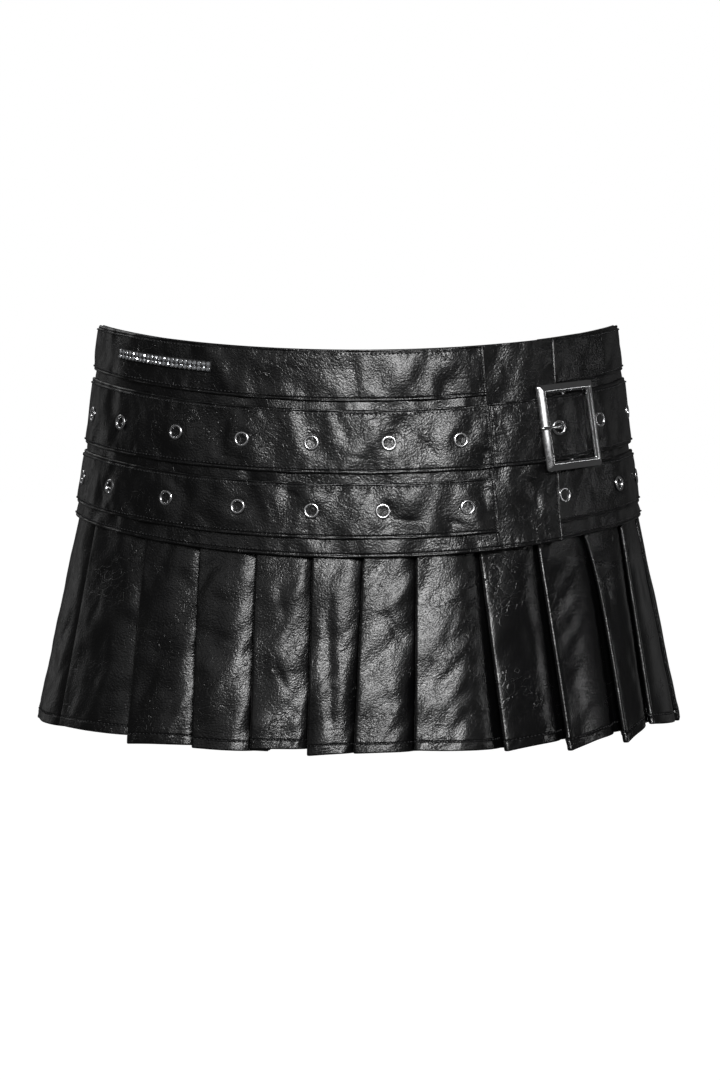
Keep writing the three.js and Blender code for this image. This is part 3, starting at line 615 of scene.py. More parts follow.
def pleat_sheet(node, first, last):
    """The sheet from pleat first to pleat last: all courses side by side, moved half the wall to
    each side along the course's level normal."""
    tall = PLEAT_HEM - PLEAT_TOP
    above = np.linspace(0, tall - HEM_STEPS[-1], LEVELS_ABOVE + 1)[:-1]
    level = (np.concatenate([above, tall - HEM_STEPS[::-1]]) / tall)[:, None]
    rows = np.concatenate([PLEATS, PLEATS[:1] + [360, 360, 0, 0, 0, 0, 0]])
    courses = [
        pleat_course(rows[i], rows[i + 1], level, ends=i == PLEATS_IN_FRONT - 1)
        for i in range(first, last + 1)
    ]
    angle, out, lower, share = (np.concatenate(columns, axis=1) for columns in zip(*courses))
    drop = mix(PLEAT_TOP, PLEAT_HEM, level) + 0 * angle
    on_face = np.sin(np.pi * share) ** 0.7
    tuck = TUCK * ramp(angle, *TUCK_RISE) * (1 - ramp(angle, *BACK_RISE))
    out = out - tuck * (1 - level) + creases(angle, drop, PLEAT_CREASES) * on_face
    middle = form_point(angle, drop, out)
    middle[..., 2] -= lower
    along = np.gradient(middle, axis=1)
    normal = np.stack([along[..., 1], -along[..., 0], 0 * drop], axis=-1)
    normal /= np.linalg.norm(normal, axis=-1, keepdims=True)
    steps = np.linalg.norm(np.diff(middle, axis=1), axis=-1)
    length = np.pad(np.cumsum(steps, axis=1), ((0, 0), (1, 0)))
    from_hem = PLEAT_HEM - drop
    nearest = np.minimum.reduce([from_hem, drop - PLEAT_TOP, length, length[:, -1:] - length])
    half_wall = rolled(nearest) * PLEAT_WALL / 2
    dip = channel(from_hem, HEM_SEAM) + pucker(length, from_hem - HEM_SEAM, HEM_PUCKER_REACH)
    fine = PLEAT_UNEVENNESS * unevenness(length, drop) * on_face
    outward = half_wall + dip * ramp(nearest, 0, EDGE_SETTLED) + fine
    outer = middle + normal * outward[..., None]
    inner = middle - normal * (half_wall - fine)[..., None]
    uv = np.stack([length + 13, drop], axis=-1) * MM
    name = "leather_" + node
    cut_sizes[name] = (float(length[-1, -1]) * MM, tall * MM)
    level_steps = np.linalg.norm(np.diff(middle, axis=0), axis=-1).mean(axis=1)
    area = (0.5 * (steps[1:] + steps[:-1]).sum(axis=1) * level_steps).sum() * MM * MM
    print(node, "cut", [round(x, 3) for x in cut_sizes[name]], "area", round(area, 4))
    surfaces[node] = {"points": outer, "normal": normal, "from_hem": from_hem[:, 0], "area": area}
    return cloth_shell(name, outer, inner, uv)


panels["pleats_front"] = pleat_sheet("pleats_front", 0, PLEATS_IN_FRONT - 1)
panels["pleats_back"] = pleat_sheet("pleats_back", PLEATS_IN_FRONT, len(PLEATS) - 1)

# %% [markdown]
# ## Stitches
# Each seam is a row of real stitches: short lengths of black thread that rise out of one hole
# and sink into the next. A stitch is a small spindle of a few faces, and every spindle of the
# skirt is the same one, turned and moved by one set of arrays, so thousands cost little.

# %% One row of stitches
STITCH = {"pitch": 2.6, "length": 1.5, "radius": 0.6, "proud": 0.17, "sunk": 0.28, "beside": 1.1}
# a spindle along x: two tips and three rings of four points, as (x share, ring radius share)
SPINDLE = np.array([(-0.36, 0.8), (0, 1), (0.36, 0.8)])
SPINDLE_POINTS = 14
stitch_points = []


def stitch_along(path, normal):
    """Stitches at equal distances along a path of points. Each is placed by the path's tangent
    t, its normal n and t x n, and bows out of the leather at its middle."""
    length = path_length(path)
    count = int(length[-1] // STITCH["pitch"])
    at = (np.arange(count) + 0.5) * length[-1] / count

    def sample(values, where):
        return np.stack([np.interp(where, length, column) for column in values.T], axis=-1)

    ahead = sample(path, at + 0.4) - sample(path, at - 0.4)
    ahead /= np.linalg.norm(ahead, axis=1, keepdims=True)
    up = sample(normal, at)
    up -= (up * ahead).sum(axis=1, keepdims=True) * ahead
    up /= np.linalg.norm(up, axis=1, keepdims=True)
    side = np.cross(ahead, up)
    quarter = np.radians([45, 135, 225, 315])
    x = np.concatenate([[-0.5], np.repeat(SPINDLE[:, 0], 4), [0.5]])
    y, z = (
        np.concatenate([[0], np.outer(SPINDLE[:, 1], turn).ravel(), [0]]) * STITCH["radius"]
        for turn in (np.cos(quarter), np.sin(quarter))
    )
    z = z + STITCH["proud"] - STITCH["sunk"] * (2 * x) ** 2
    local = sum(
        share[:, None] * direction[:, None, :]
        for share, direction in ((x * STITCH["length"], ahead), (y, side), (z, up))
    )
    stitch_points.append((sample(path, at)[:, None, :] + local).reshape(-1, 3))


def close_stitches(name):
    """All rows since the last call as one mesh of thread."""
    points = np.concatenate(stitch_points)
    stitch_points.clear()
    start = np.arange(0, len(points), SPINDLE_POINTS)[:, None, None]
    ring = np.arange(4)
    after = (ring + 1) % 4
    tip = np.stack([0 * ring, 1 + after, 1 + ring], axis=1)
    tail = np.stack([9 + ring, 9 + after, 13 + 0 * ring], axis=1)
    walls = np.concatenate([
        np.stack([first + ring, first + after, first + 4 + after, first + 4 + ring], axis=1)
        for first in (1, 5)
    ])
    triangles = (start + np.concatenate([tip, tail])).reshape(-1, 3)
    quads = (start + walls).reshape(-1, 4)
    print(name, ":", len(start), "stitches")
    return make_piece(name, points, [(triangles, 0), (quads, 0)])

# %% Sew the panels
BAND_EDGES = ("top", "bottom")
# for each thread: the panel, its sewn edges, and what the row keeps clear at its two ends
SEWN = {
    "thread_front": [
        ("waistband_front", (*BAND_EDGES, "right"), 2.5, 2.5),
        ("belt_1_front", (*BAND_EDGES, "right"), 2.5, 2.5),
        ("belt_2_front", (*BAND_EDGES, "right"), 2.5, 2.5),
        ("yoke_front", ("bottom", "right"), 2.5, 2.5),
    ],
    "thread_placket": [
        ("placket_panel", ("right", "bottom"), 2.5, 2.5),
        ("belt_1_tongue", (*BAND_EDGES, "left"), 2.5, 0.6),
    ],
    "thread_back": [
        ("waistband_back", BAND_EDGES, 5, 1), ("belt_1_back", BAND_EDGES, 5, 1),
        ("belt_2_back", BAND_EDGES, 5, 1), ("yoke_back", ("bottom",), 2.5, 2.5),
    ],
}


def surface_normals(points):
    """Outward unit normals of a grid: its step down crossed with its step to the right."""
    normal = np.cross(np.gradient(points, axis=0), np.gradient(points, axis=1))
    return normal / np.linalg.norm(normal, axis=-1, keepdims=True)


def grid_line(grid, distances, inset, axis):
    """The line of a grid at which the distances pass inset, between two rows (axis 0) or
    columns (axis 1)."""
    order = np.argsort(distances)
    at = np.interp(inset, distances[order], order)
    low = int(at)
    return mix(grid.take(low, axis=axis), grid.take(low + 1, axis=axis), at - low)


def sew(node, edge, before, after):
    """A row of stitches inside one edge of a panel, clear of its other edges."""
    points, edges = surfaces[node]["points"], surfaces[node]["edges"]
    axis = 0 if edge in BAND_EDGES else 1
    distances = edges[edge].take(0, axis=1 - axis)
    run = edges["left" if axis == 0 else "top"].take(0, axis=axis)
    keep = (run >= before) & (run <= run[-1] - after)
    path, up = (
        grid_line(grid, distances, SEAM_IN + STITCH["beside"], axis)[keep]
        for grid in (points, surface_normals(points))
    )
    stitch_along(path, up)


threads = {}
for name, rows in SEWN.items():
    for node, sewn_edges, before, after in rows:
        for edge in sewn_edges:
            sew(node, edge, before, after)
    threads[name] = close_stitches(name)
for node in ("pleats_front", "pleats_back"):
    surface = surfaces[node]
    path, up = (
        grid_line(surface[grid], surface["from_hem"], HEM_SEAM, axis=0) for grid in ("points", "normal")
    )
    stitch_along(path, up)
    threads["thread_" + node] = close_stitches("thread_" + node)

# %% [markdown]
# ## Eyelets
# An eyelet is a tube of nickelled brass whose end is rolled over into a ring. Its section is
# turned on a lathe, so the mesh is that profile carried round a circle. All forty are one
# mesh: the same ring, seated on each belt by the face's own across, down and outward directions.

# %% Turn the rings
# distance from the eyelet's middle and height above the leather, round the section
RING_PROFILE = np.array([
    (4.65, 0.0), (4.66, 0.22), (4.5, 0.5), (4.15, 0.74), (3.75, 0.82), (3.35, 0.72),
    (3.05, 0.45), (2.9, 0.05), (2.84, -0.5), (2.84, -0.85), (3.15, -0.85), (3.3, -0.1),
])
RING_SIDES = 36


def seat(face, angle, drop, above=0.0):
    """The place and the across, outward and down directions of a face at an angle and drop."""
    def on_face(a, d):
        return form_point(np.float64(a), np.float64(d), face(np.float64(a), np.float64(d)))
    across = on_face(angle + 1, drop) - on_face(angle - 1, drop)
    across /= np.linalg.norm(across)
    down = on_face(angle, drop + 1) - on_face(angle, drop - 1)
    outward = np.cross(down, across)
    outward /= np.linalg.norm(outward)
    return on_face(angle, drop) + above * outward, np.stack([across, outward, np.cross(across, outward)])


def lathe(profile, sides):
    """Points of a profile (r, y) turned round the y axis: (r cos t, y, r sin t)."""
    t = np.radians(np.arange(sides) * 360 / sides)[:, None]
    radius, height = profile[None, :, 0], profile[None, :, 1]
    return np.stack([radius * np.cos(t), height + 0 * t, radius * np.sin(t)], axis=-1)


def ring_faces(sides, section):
    """Quads of a closed ring of closed sections."""
    index = np.arange(sides * section).reshape(sides, section)
    wrapped = np.pad(index, ((0, 1), (0, 1)), mode="wrap")
    return grid_quads(wrapped)[:, ::-1]


def repeated(faces, points, times):
    """The faces of one shape for as many copies of it, each with its own points."""
    return (np.arange(times)[:, None, None] * points + faces).reshape(-1, faces.shape[1])


ring = lathe(RING_PROFILE, RING_SIDES).reshape(-1, 3)
places, eyelet_nodes = [], []
for strip, found in eyelets.items():
    for node, angle, drop in found:
        origin, axes = seat(FACES[strip], angle, drop, above=0.05)
        places.append(origin + ring @ axes)
        eyelet_nodes.append(node)
quads = ring_faces(RING_SIDES, len(RING_PROFILE))
eyelet_rings = make_piece(
    "eyelet_rings", np.concatenate(places), [(repeated(quads, len(ring), len(places)), 0)])
print(len(places), "rings of", len(quads), "faces")

# %% [markdown]
# ## The buckle and its prong
# The buckle is a cast frame with softened edges. Its bar has one section all round, so it is a
# closed profile carried round a rectangle with rounded corners: each point of the profile
# draws its own rectangle, set in by its distance from the outer edge. A thin round bar crosses
# the middle, under the tongue, and the prong hooks up through the eyelet and lies on the frame.

# %% Cast the frame
BUCKLE = {"angle": 49.5, "drop": 55.2, "turn": -2, "width": 44, "height": 52, "corner": 1.9}
# how far in from the outer edge, and how high above the belt's form
BAR_PROFILE = np.array([
    (0.0, 2.5), (0.0, 3.1), (0.1, 3.35), (0.35, 3.6), (1.2, 4.28), (2.2, 5.0), (3.1, 5.58), (3.5, 5.8),
    (3.85, 5.93), (4.1, 5.95), (4.32, 5.85), (4.5, 5.6), (4.8, 4.9), (4.9, 4.7), (5.25, 4.5), (5.42, 4.3),
    (5.5, 4.0), (5.5, 2.5), (5.2, 2.1), (4.8, 2.0), (0.6, 2.0), (0.2, 2.12),
])
CORNER_POINTS = 7
LEAST_CORNER = 0.45
# half length, points, radius and lift of the bar under the tongue, and how flat it is
CENTRE_BAR = {"half": 22.3, "points": 24, "radius": 0.75, "lift": 1.35, "flat": 1.6}


def spun(points, degrees):
    """Points turned about their outward axis: x cos + z sin and z cos - x sin."""
    cos, sin = np.cos(np.radians(degrees)), np.sin(np.radians(degrees))
    x, y, z = points[..., 0], points[..., 1], points[..., 2]
    return np.stack([x * cos + z * sin, y, z * cos - x * sin], axis=-1)


def buckle_place(points):
    """Moves points of the buckle's own frame (across, outward, down) onto the belt."""
    origin, axes = seat(lambda a, d: 0 * a, BUCKLE["angle"], BUCKLE["drop"])
    return origin + spun(points, BUCKLE["turn"]) @ axes


def rounded_frame(profile, width, height, corner):
    """Each profile point's rectangle, its corners arcs of the radius that is left there."""
    inset, lift = profile[:, 0][None, :], profile[:, 1][None, :]
    radius = np.maximum(corner - inset, LEAST_CORNER)
    arc = np.linspace(0, 90, CORNER_POINTS)
    t = np.radians(np.concatenate([arc + quarter for quarter in (0, 90, 180, 270)]))[:, None]
    side_x = np.repeat([1, -1, -1, 1], CORNER_POINTS)[:, None]
    side_z = np.repeat([1, 1, -1, -1], CORNER_POINTS)[:, None]
    x = side_x * (width / 2 - inset - radius) + radius * np.cos(t)
    z = side_z * (height / 2 - inset - radius) + radius * np.sin(t)
    return np.stack([x, lift + 0 * x, z], axis=-1)


def tube(path, radius, sides):
    """A round tube along a path in the x-y plane, closed by a point at each end. radius is one
    number for each point of the path."""
    ahead = np.gradient(path, axis=0)
    ahead /= np.linalg.norm(ahead, axis=1, keepdims=True)
    across = np.stack([-ahead[:, 1], ahead[:, 0], 0 * ahead[:, 0]], axis=1)
    t = np.radians(np.arange(sides) * 360 / sides)
    side = np.array([0, 0, 1.0])
    rings = path[:, None, :] + radius[:, None, None] * (
        np.cos(t)[None, :, None] * across[:, None, :] + np.sin(t)[None, :, None] * side
    )
    tips = np.stack([path[0] - ahead[0] * radius[0] * 0.4, path[-1] + ahead[-1] * radius[-1] * 0.6])
    index = np.pad(np.arange(len(path) * sides).reshape(len(path), sides), ((0, 0), (0, 1)), mode="wrap")
    first, last = index[0], index[-1]
    start, end = len(path) * sides, len(path) * sides + 1
    caps = np.concatenate([
        np.stack([first[1:], first[:-1], np.full(sides, start)], axis=1),
        np.stack([last[:-1], last[1:], np.full(sides, end)], axis=1),
    ])
    return np.concatenate([rings.reshape(-1, 3), tips]), grid_quads(index)[:, ::-1], caps


def outward_faces(piece):
    """Turns every face of a closed piece outwards."""
    shape = bmesh.new()
    shape.from_mesh(piece.data)
    bmesh.ops.recalc_face_normals(shape, faces=shape.faces)
    shape.to_mesh(piece.data)
    shape.free()
    return piece


frame_points = rounded_frame(BAR_PROFILE, BUCKLE["width"], BUCKLE["height"], BUCKLE["corner"])
sections, around = frame_points.shape[:2]
bar_line = np.linspace(-CENTRE_BAR["half"], CENTRE_BAR["half"], CENTRE_BAR["points"])
bar_path = np.stack([bar_line, 0 * bar_line, 0 * bar_line], axis=1)
bar_radius = np.full(CENTRE_BAR["points"], CENTRE_BAR["radius"])
bar_points, bar_quads, bar_caps = tube(bar_path, bar_radius, 12)
bar_points = bar_points[:, [2, 1, 0]] * [CENTRE_BAR["flat"], 1, 1] + [0, CENTRE_BAR["lift"], 0]
flat_frame = frame_points.reshape(-1, 3)
buckle = make_piece("buckle", buckle_place(np.concatenate([flat_frame, bar_points])), [
    (ring_faces(sections, around), 0), (bar_quads + len(flat_frame), 0), (bar_caps + len(flat_frame), 0),
])
outward_faces(buckle)
buckle.data.set_sharp_from_angle(angle=np.radians(38))

# %% Bend the prong
# across and outward, from the eyelet to the tip on the frame's near bar
PRONG_POINTS = np.array([
    (-7.4, 1.4), (-7.7, 2.8), (-8.6, 4.8), (-11.1, 7.3), (-15, 7.5), (-21, 7.3), (-24.8, 6.2),
])
PRONG_SECTIONS = 40
# share of the prong's length, and its radius there
PRONG_SHARES, PRONG_RADII = [0, 0.2, 0.75, 0.95, 1], [1.05, 1.15, 1.15, 1.05, 0.7]


def smooth_path(points, at):
    """A Catmull-Rom curve: each stretch is a cubic through its ends, with the neighbours' slopes."""
    padded = np.concatenate([2 * points[:1] - points[1:2], points, 2 * points[-1:] - points[-2:-1]])
    i = np.minimum(at.astype(int), len(points) - 2)
    t = (at - i)[:, None]
    before, here, after, beyond = (padded[i + k] for k in range(4))
    return 0.5 * (2 * here + (after - before) * t + (2 * before - 5 * here + 4 * after - beyond) * t**2
                  + (3 * here - before - 3 * after + beyond) * t**3)


prong_line = smooth_path(PRONG_POINTS, np.linspace(0, len(PRONG_POINTS) - 1, PRONG_SECTIONS))
prong_path = np.concatenate([prong_line, 0 * prong_line[:, :1]], axis=1)
thickness = np.interp(np.linspace(0, 1, PRONG_SECTIONS), PRONG_SHARES, PRONG_RADII)
prong_points, prong_quads, prong_caps = tube(prong_path, thickness, 14)
prong = make_piece("prong", buckle_place(prong_points), [(prong_quads, 0), (prong_caps, 0)])
outward_faces(prong)

# %% [markdown]
# ## The crystal bar
# A narrow dark bar with two rows of small foiled crystals is sewn to the waistband, left in the
# picture. Its base follows the waistband. Each crystal is a low eight-sided cone with a flat
# table, which is how such stones are cut, and flat shading keeps their facets crisp.

# %% The bar's base
TRIM = {"from": -63.5, "to": -33, "drop": 14.5, "width": 7, "thick": 0.8, "rows": 2, "pitch": 3.1}
TRIM_ROLL = 0.5
TRIM_MM = 2.4  # millimetres of waistband in one degree here, for the roll at the bar's ends


def trim_face(angle, drop):
    return BAND_OUT + crown("waistband", drop) + SEAM_GAP + TRIM["thick"] + 0 * angle


def trim_shell():
    """A strip that follows the waistband, with a rim rolled by a quarter circle all round."""
    angle = np.linspace(TRIM["from"], TRIM["to"], 60)[None, :]
    drop = (TRIM["drop"] + TRIM["width"] * np.linspace(-0.5, 0.5, 9))[:, None]
    from_sides = TRIM["width"] / 2 - np.abs(drop - TRIM["drop"])
    from_ends = TRIM_MM * np.minimum(angle - TRIM["from"], TRIM["to"] - angle)
    share = 1 - np.clip(np.minimum(from_sides, from_ends) / TRIM_ROLL, 0, 1)
    half = np.sqrt(np.clip(1 - share**2, 0, 1)) * TRIM["thick"] / 2
    middle = trim_face(angle, drop) - TRIM["thick"] / 2
    uv = np.stack(np.broadcast_arrays(angle * 2.3, drop), axis=-1) * MM
    faces = (form_point(angle, drop, middle + side * half) for side in (1, -1))
    return cloth_shell("crystal_bar_base", *faces, uv)


trim_base = trim_shell()

# %% Set the crystals
# distance from the stone's axis and height above the base: up the stone, and round its cup
STONE_PROFILE = np.array([(1.3, -0.15), (1.32, 0.16), (0.74, 0.8)])
CUP_PROFILE = np.array([(1.44, -0.2), (1.44, 0.14), (1.33, 0.2), (1.28, -0.2)])
FACETS = 8
END_ROOM = 0.6

degrees = np.linspace(TRIM["from"], TRIM["to"], LINE_POINTS)
reached = np.concatenate([[0], np.cumsum(mm_per_degree(degrees[1:], TRIM["drop"]) * np.diff(degrees))])
stones_long = int((reached[-1] - END_ROOM) // TRIM["pitch"])
share = (np.arange(stones_long) + 0.5) / stones_long
stone_angles = np.interp(END_ROOM / 2 + share * (reached[-1] - END_ROOM), reached, degrees)
stone = lathe(STONE_PROFILE, FACETS).reshape(-1, 3)
cup = lathe(CUP_PROFILE, FACETS).reshape(-1, 3)
stones, cups = [], []
for row in range(TRIM["rows"]):
    drop = TRIM["drop"] + (row - (TRIM["rows"] - 1) / 2) * TRIM["pitch"]
    for number, angle in enumerate(stone_angles):
        origin, axes = seat(trim_face, angle, drop, above=0.05)
        stones.append(origin + spun(stone, -(22.5 + 17 * number + 31 * row)) @ axes)
        cups.append(origin + cup @ axes)
print(len(stones), "crystals in", TRIM["rows"], "rows")

index = np.arange(len(stone)).reshape(FACETS, -1)
stone_sides = grid_quads(np.pad(index, ((0, 1), (0, 0)), mode="wrap"))[:, ::-1]
table, culet = index[::-1, -1][None, :], index[:, 0][None, :]
crystals = make_piece("crystals", np.concatenate(stones), [
    (repeated(faces, len(stone), len(stones)), 0) for faces in (stone_sides, table, culet)
])
crystals.data.polygons.foreach_set("use_smooth", np.zeros(len(crystals.data.polygons), bool))
cup_faces = repeated(ring_faces(FACETS, len(CUP_PROFILE)), len(cup), len(cups))
settings = make_piece("crystal_cups", np.concatenate(cups), [(cup_faces, 0)])
for piece in (crystals, settings):
    outward_faces(piece)

# %% [markdown]
# ## Materials
# Every finish is worked out by nodes. The leather reads its UV map, which is in metres of
# cloth, so its grain keeps one size on every piece; metal and thread read object coordinates.
# A small class keeps the node calls short: an input is either a number or another node's output.

# %% A finish and the nodes it is made of
class Finish:
    """A material with one principled shader. Each method adds a node and gives its output."""

    def __init__(self, name):
        self.material = bpy.data.materials.new(name)
        self.material.use_nodes = True
        self.nodes, self.links = self.material.node_tree.nodes, self.material.node_tree.links
        self.nodes.clear()
        self.shader = self.add("BsdfPrincipled")
        self.add("OutputMaterial", {"Surface": self.shader.outputs["BSDF"]})

    def add(self, kind, inputs={}, **settings):
        node = self.nodes.new("ShaderNode" + kind)
        for key, value in settings.items():
            setattr(node, key, value)
        self.wire(node, inputs)
        return node

    def wire(self, node, inputs):
        """Links each input that is given a node's output, and sets each that is given a value."""
        for key, value in inputs.items():
            if isinstance(value, bpy.types.NodeSocket):
                self.links.new(value, node.inputs[key])
            else:
                node.inputs[key].default_value = value

    def give(self, inputs):
        self.wire(self.shader, inputs)

    def own_place(self):
        return self.add("TexCoord").outputs["Object"]

    def cloth_place(self):
        return self.add("UVMap", uv_map="cloth").outputs["UV"]

    def maths(self, operation, first, second, clamp=False):
        return self.add("Math", {0: first, 1: second}, operation=operation, use_clamp=clamp).outputs[0]

    def vectors(self, operation, first, second):
        return self.add("VectorMath", {0: first, 1: second}, operation=operation).outputs[0]

    def remap(self, value, *limits):
        """Takes from_low..from_high to to_low..to_high, the four limits in this order."""
        names = ("From Min", "From Max", "To Min", "To Max")
        return self.add("MapRange", {"Value": value, **dict(zip(names, limits))}).outputs["Result"]

    def noise(self, place, scale, detail, roughness=0.5, distortion=0.0, output="Fac"):
        return self.add("TexNoise", {
            "Vector": place, "Scale": scale, "Detail": detail,
            "Roughness": roughness, "Distortion": distortion,
        }).outputs[output]

    def web(self, place, scale):
        """Distance to the nearest edge of a cell: 0 along the lines of a web."""
        return self.add("TexVoronoi", {"Vector": place, "Scale": scale, "Randomness": 1.0},
                        voronoi_dimensions="2D", feature="DISTANCE_TO_EDGE").outputs["Distance"]

    def crooked_lines(self, place, scale, detail, width):
        """1 along the middle level of a noise, falling to 0 at width to its sides."""
        level = self.maths("SUBTRACT", self.noise(place, scale, detail, 0.5, 0.3), 0.5)
        return self.remap(self.maths("ABSOLUTE", level, 0), 0, width, 1, 0)

    def colours(self, value, low, high):
        """A colour from low to high as the value goes from 0 to 1."""
        ramp = self.add("ValToRGB", {"Fac": value})
        for element, colour in zip(ramp.color_ramp.elements, (low, high)):
            element.color = (*colour, 1)
        return ramp.outputs["Color"]

    def relief(self, height, distance, strength=1.0, under=None):
        inputs = {"Height": height, "Distance": distance, "Strength": strength}
        if under is not None:
            inputs["Normal"] = under
        return self.add("Bump", inputs).outputs["Normal"]

# %% [markdown]
# ### Coated leather
# The hide is nearly black, with a soft lacquer. Its look comes from relief of several sizes: a
# fine pebbled grain of about a millimetre and a half, broken wrinkles as a web of 7 mm cells
# and crooked lines of 9 mm, and a slow swell of 2 by 3 cm that makes the highlights cloudy. The
# pleats at the wearer's left are pressed smoother, so the relief is calmer there. The lacquer
# is a little duller and paler along the wrinkles. All of it reads the cloth's own UV map.

# %% Leather
leather = Finish("coated_leather")
cloth = leather.cloth_place()
straying = leather.noise(cloth, 120, 3, output="Color")
straying = leather.add("VectorMath", {0: straying, "Scale": 0.006}, operation="SCALE").outputs[0]
bent = leather.vectors("ADD", cloth, straying)
grain = leather.noise(cloth, 640, 1, 0.5, 0.3)
pebbles = leather.remap(leather.web(bent, 620), 0, 0.35, 0, 1)
patches = leather.remap(leather.noise(cloth, 30, 2), 0.5, 0.62, 0, 1)
broken = leather.maths("MULTIPLY", leather.crooked_lines(bent, 110, 2, 0.011), patches)
cells = leather.maths("MULTIPLY", leather.remap(leather.web(bent, 150), 0, 0.07, 0.4, 0), patches)
lines = leather.maths("ADD", broken, cells)
pebbled = leather.maths("ADD", grain, leather.maths("MULTIPLY", pebbles, 0.25))
fine = leather.maths("SUBTRACT", pebbled, lines)

# %% The calmer pleats, and the leather's shine
# the pleats right of CALM_RIGHT and below CALM_BELOW, in metres, keep this share of the swell
CALM_RIGHT, CALM_BELOW, CALM_SHARE = (0.055, 0.09), (-0.135, -0.115), 0.15
spot = leather.add("SeparateXYZ", {0: leather.own_place()})
to_the_right = leather.remap(spot.outputs["X"], *CALM_RIGHT, 1, CALM_SHARE)
above_pleats = leather.remap(spot.outputs["Z"], *CALM_BELOW, 0, 1)
kept = leather.maths("MAXIMUM", to_the_right, above_pleats)
swell = leather.noise(leather.vectors("MULTIPLY", cloth, (1.0, 0.65, 1.0)), 48, 1, 0.4, 0.2)
swell_height = leather.maths("MULTIPLY", leather.maths("SUBTRACT", swell, 0.5), kept)
fine_height = leather.maths("MULTIPLY", fine, leather.remap(kept, CALM_SHARE, 1, 0.5, 1))
cloudy = leather.relief(swell_height, 0.0046)
dullness = leather.maths(
    "ADD", leather.remap(swell, 0.3, 0.7, 0.3, 0.36), leather.maths("MULTIPLY", lines, 0.08))
leather.give({
    "Normal": leather.relief(fine_height, 0.00021, under=cloudy),
    "Roughness": leather.maths("MULTIPLY", dullness, leather.remap(kept, CALM_SHARE, 1, 0.72, 1)),
    "Base Color": leather.colours(
        leather.maths("MULTIPLY", lines, 0.7, clamp=True), (0.0018, 0.0018, 0.002), (0.007, 0.0069, 0.0068)),
    "IOR": 1.5,
    "Specular IOR Level": 0.5,
})

# %% [markdown]
# ### The leather's flesh side
# Inside, the coated hide has a matt knitted backing in charcoal. A fine diagonal weave with a
# little fuzz is enough, as it only shows at the waist and below the hem.

# %% Lining side
lining = Finish("lining_side")
cloth = lining.cloth_place()
weave = lining.add(
    "TexWave", {"Vector": cloth, "Scale": 420, "Distortion": 1.5, "Detail": 2, "Detail Scale": 2},
    wave_type="BANDS", bands_direction="DIAGONAL").outputs["Fac"]
fuzz = lining.noise(cloth, 1400, 3, 0.6)
backing = lining.maths("ADD", lining.maths("MULTIPLY", weave, 0.6), fuzz)
lining.give({
    "Normal": lining.relief(backing, 0.0002, 0.8),
    "Base Color": lining.colours(
        lining.remap(backing, 0.3, 1.2, 0, 1), (0.010, 0.010, 0.011), (0.032, 0.031, 0.031)),
    "Roughness": lining.remap(fuzz, 0.3, 0.7, 0.78, 0.95),
    "Sheen Weight": 0.15,
})

# %% [markdown]
# ### Thread, metal and crystal
# The thread is waxed polyester, black with a faint twist. The buckle is polished cast metal, a
# little uneven and smudged, so its reflections break up; the eyelets are duller nickel. The
# stones are foiled: they mirror the room from behind their facets, which a bright metal gives
# at this size.

# %% Thread
thread = Finish("black_thread")
twist = thread.add(
    "TexWave", {"Vector": thread.own_place(), "Scale": 900, "Distortion": 3, "Detail": 1},
    bands_direction="DIAGONAL").outputs["Fac"]
thread.give({
    "Normal": thread.relief(twist, 0.0001, 0.5),
    "Base Color": thread.colours(twist, (0.011, 0.011, 0.0115), (0.026, 0.026, 0.027)),
    "Roughness": thread.remap(twist, 0, 1, 0.5, 0.65),
    "Specular IOR Level": 0.15,
})

# %% Metal and stones
def mottled(name, pattern, low, high, roughness, **constants):
    """A finish whose colour and roughness both follow one noise, given by its scale, detail,
    roughness and distortion. Gives the finish, its place and its noise as well."""
    made = Finish(name)
    place = made.own_place()
    marks = made.noise(place, *pattern)
    made.give({
        "Base Color": made.colours(marks, low, high),
        "Roughness": made.remap(marks, 0.3, 0.7, *roughness),
        **{key.replace("_", " "): value for key, value in constants.items()},
    })
    return made, place, marks


steel, place, smudges = mottled(
    "polished_steel", (260, 3, 0.6, 0.5), (0.64, 0.64, 0.65), (0.74, 0.74, 0.75), (0.1, 0.2), Metallic=1.0)
scratches = steel.maths("MULTIPLY", steel.noise(place, 2400, 2), 0.3)
steel.give({"Normal": steel.relief(steel.maths("ADD", smudges, scratches), 0.00004, 0.5)})
nickel, *_ = mottled(
    "satin_nickel", (900, 2), (0.56, 0.56, 0.57), (0.72, 0.72, 0.73), (0.2, 0.28), Metallic=1.0)
dark_base, *_ = mottled(
    "blackened_base", (700, 2), (0.006, 0.006, 0.0065), (0.02, 0.02, 0.021), (0.5, 0.65))
crystal, *_ = mottled(
    "foiled_crystal", (700, 1), (0.55, 0.58, 0.62), (0.95, 0.96, 0.98), (0.12, 0.3),
    Metallic=0.9, Coat_Weight=1.0)

# %% [markdown]
# ## Which solid each piece stands for
# Every fine piece hides the solid that it replaces and rides on the skirt's one body.

PIECES = [
    *((panels[node], "leather", (leather, lining), [node]) for node in panels),
    *((piece, "thread", (thread,), []) for piece in threads.values()),
    (eyelet_rings, "steel", (nickel,), eyelet_nodes),
    (buckle, "steel", (steel,), ["buckle_frame"]),
    (prong, "steel", (steel,), ["buckle_prong"]),
    (trim_base, "steel", (dark_base, dark_base), ["crystal_trim"]),
    (crystals, "crystal", (crystal,), []),
    (settings, "steel", (steel,), []),
]


def wear(piece, *finishes):
    piece.data.materials.clear()
    for finish in finishes:
        piece.data.materials.append(finish.material)


for piece, slot, finishes, nodes in PIECES:
    wear(piece, *finishes)
    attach(piece, "root")
    if nodes:
        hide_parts(*nodes)
print(len(PIECES), "pieces")

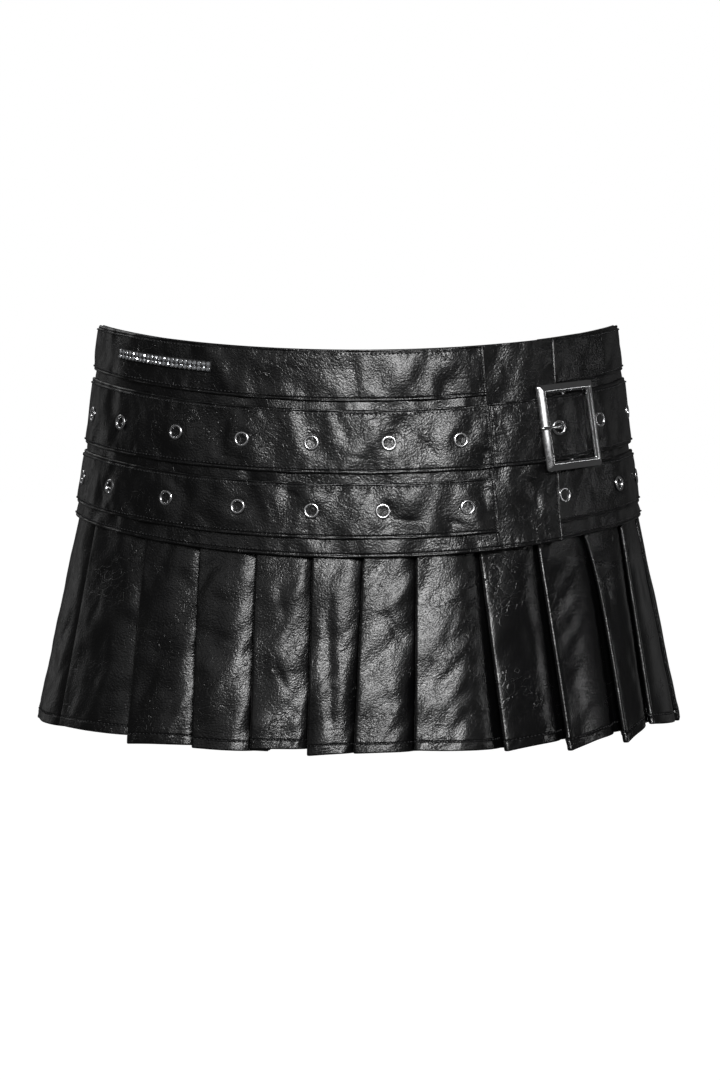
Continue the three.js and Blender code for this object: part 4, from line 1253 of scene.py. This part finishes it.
# %% [markdown]
# ## Camera, floor and light
# The picture was taken from waist height with a long lens, so the camera stands far off and
# looks a little down. The background is plain white. One soft light hangs in front, above the
# lens, and puts the cloudy sheen on the front. A small one lights the buckle's near bar, a low
# one at the right draws the pleats' edges, and weak wide ones fill the rest and the back.

# %% Camera
def facing(place, target):
    """The turn that points an object's -Z axis from a place to a target: about X, then Z."""
    x, y, z = np.array(target) - np.array(place)
    return np.arctan2(np.hypot(x, y), -z), 0, np.arctan2(-x, y)


scene = bpy.context.scene
camera_data = bpy.data.cameras.new("camera")
camera = bpy.data.objects.new("camera", camera_data)
scene.collection.objects.link(camera)
camera_data.sensor_width = 36
camera_data.lens = 176.7
camera_data.clip_end = 100
camera.location = (0.001, -3.25, 0.014)
camera.rotation_euler = facing(camera.location, (0.001, 0, -0.118))
scene.camera = camera

# %% Floor and background
scene.view_settings.view_transform = "Standard"
bpy.ops.mesh.primitive_plane_add(size=30, location=(0, 0, -0.6))
floor = bpy.context.object
floor.name = "floor"
white_floor = Finish("white_floor")
shade = white_floor.noise(white_floor.own_place(), 3, 2)
white_floor.give({
    "Base Color": white_floor.colours(shade, (0.2, 0.2, 0.2), (0.22, 0.22, 0.22)),
    "Roughness": 0.9,
    "Emission Color": (1, 1, 1, 1),
    "Emission Strength": 1.0,
})
wear(floor, white_floor)
floor.visible_glossy = False
floor.visible_diffuse = False

world = bpy.data.worlds.new("white_room")
scene.world = world
world.use_nodes = True
nodes, links = world.node_tree.nodes, world.node_tree.links
nodes.clear()
either = nodes.new("ShaderNodeMixShader")
links.new(nodes.new("ShaderNodeLightPath").outputs["Is Camera Ray"], either.inputs[0])
for socket, strength in ((1, 0.055), (2, 1.0)):
    background = nodes.new("ShaderNodeBackground")
    background.inputs["Color"].default_value = (1, 1, 1, 1)
    background.inputs["Strength"].default_value = strength
    links.new(background.outputs[0], either.inputs[socket])
links.new(either.outputs[0], nodes.new("ShaderNodeOutputWorld").inputs[0])

# %% Lights
MIDDLE, BUCKLE_SIDE = (0, 0, -0.12), (0.12, -0.08, -0.05)
# name, place, what it is aimed at, width and height in metres, watts
LIGHTS = [
    ("key_softbox", (0.25, -1.48, 0.68), MIDDLE, (0.66, 0.34), 27),
    ("bar_strip", (0.40, -1.45, 0.19), BUCKLE_SIDE, (0.3, 0.34), 0.75),
    ("right_low", (1.5, -0.27, 0.07), BUCKLE_SIDE, (0.26, 0.16), 0.8),
    ("back_soft", (-1.4, 1.6, 1.3), MIDDLE, (1.8, 1.0), 9),
    ("left_fill", (-1.2, -1.2, 0.75), MIDDLE, (1.2, 0.8), 1.5),
    ("front_fill", (-0.2, -1.9, 0.3), MIDDLE, (2.0, 1.2), 0.3),
    ("left_rim", (-1.25, 1.0, 0.0), MIDDLE, (0.5, 0.4), 0.3),
    ("right_rim", (1.25, 1.0, 0.0), MIDDLE, (0.5, 0.4), 0.1),
]
for name, place, target, size, watts in LIGHTS:
    data = bpy.data.lights.new(name, "AREA")
    data.shape = "RECTANGLE"
    data.size, data.size_y = size
    data.energy = watts
    lamp = bpy.data.objects.new(name, data)
    scene.collection.objects.link(lamp)
    lamp.location = place
    lamp.rotation_euler = facing(place, target)
    lamp.visible_camera = False
print(len(LIGHTS), "lights")
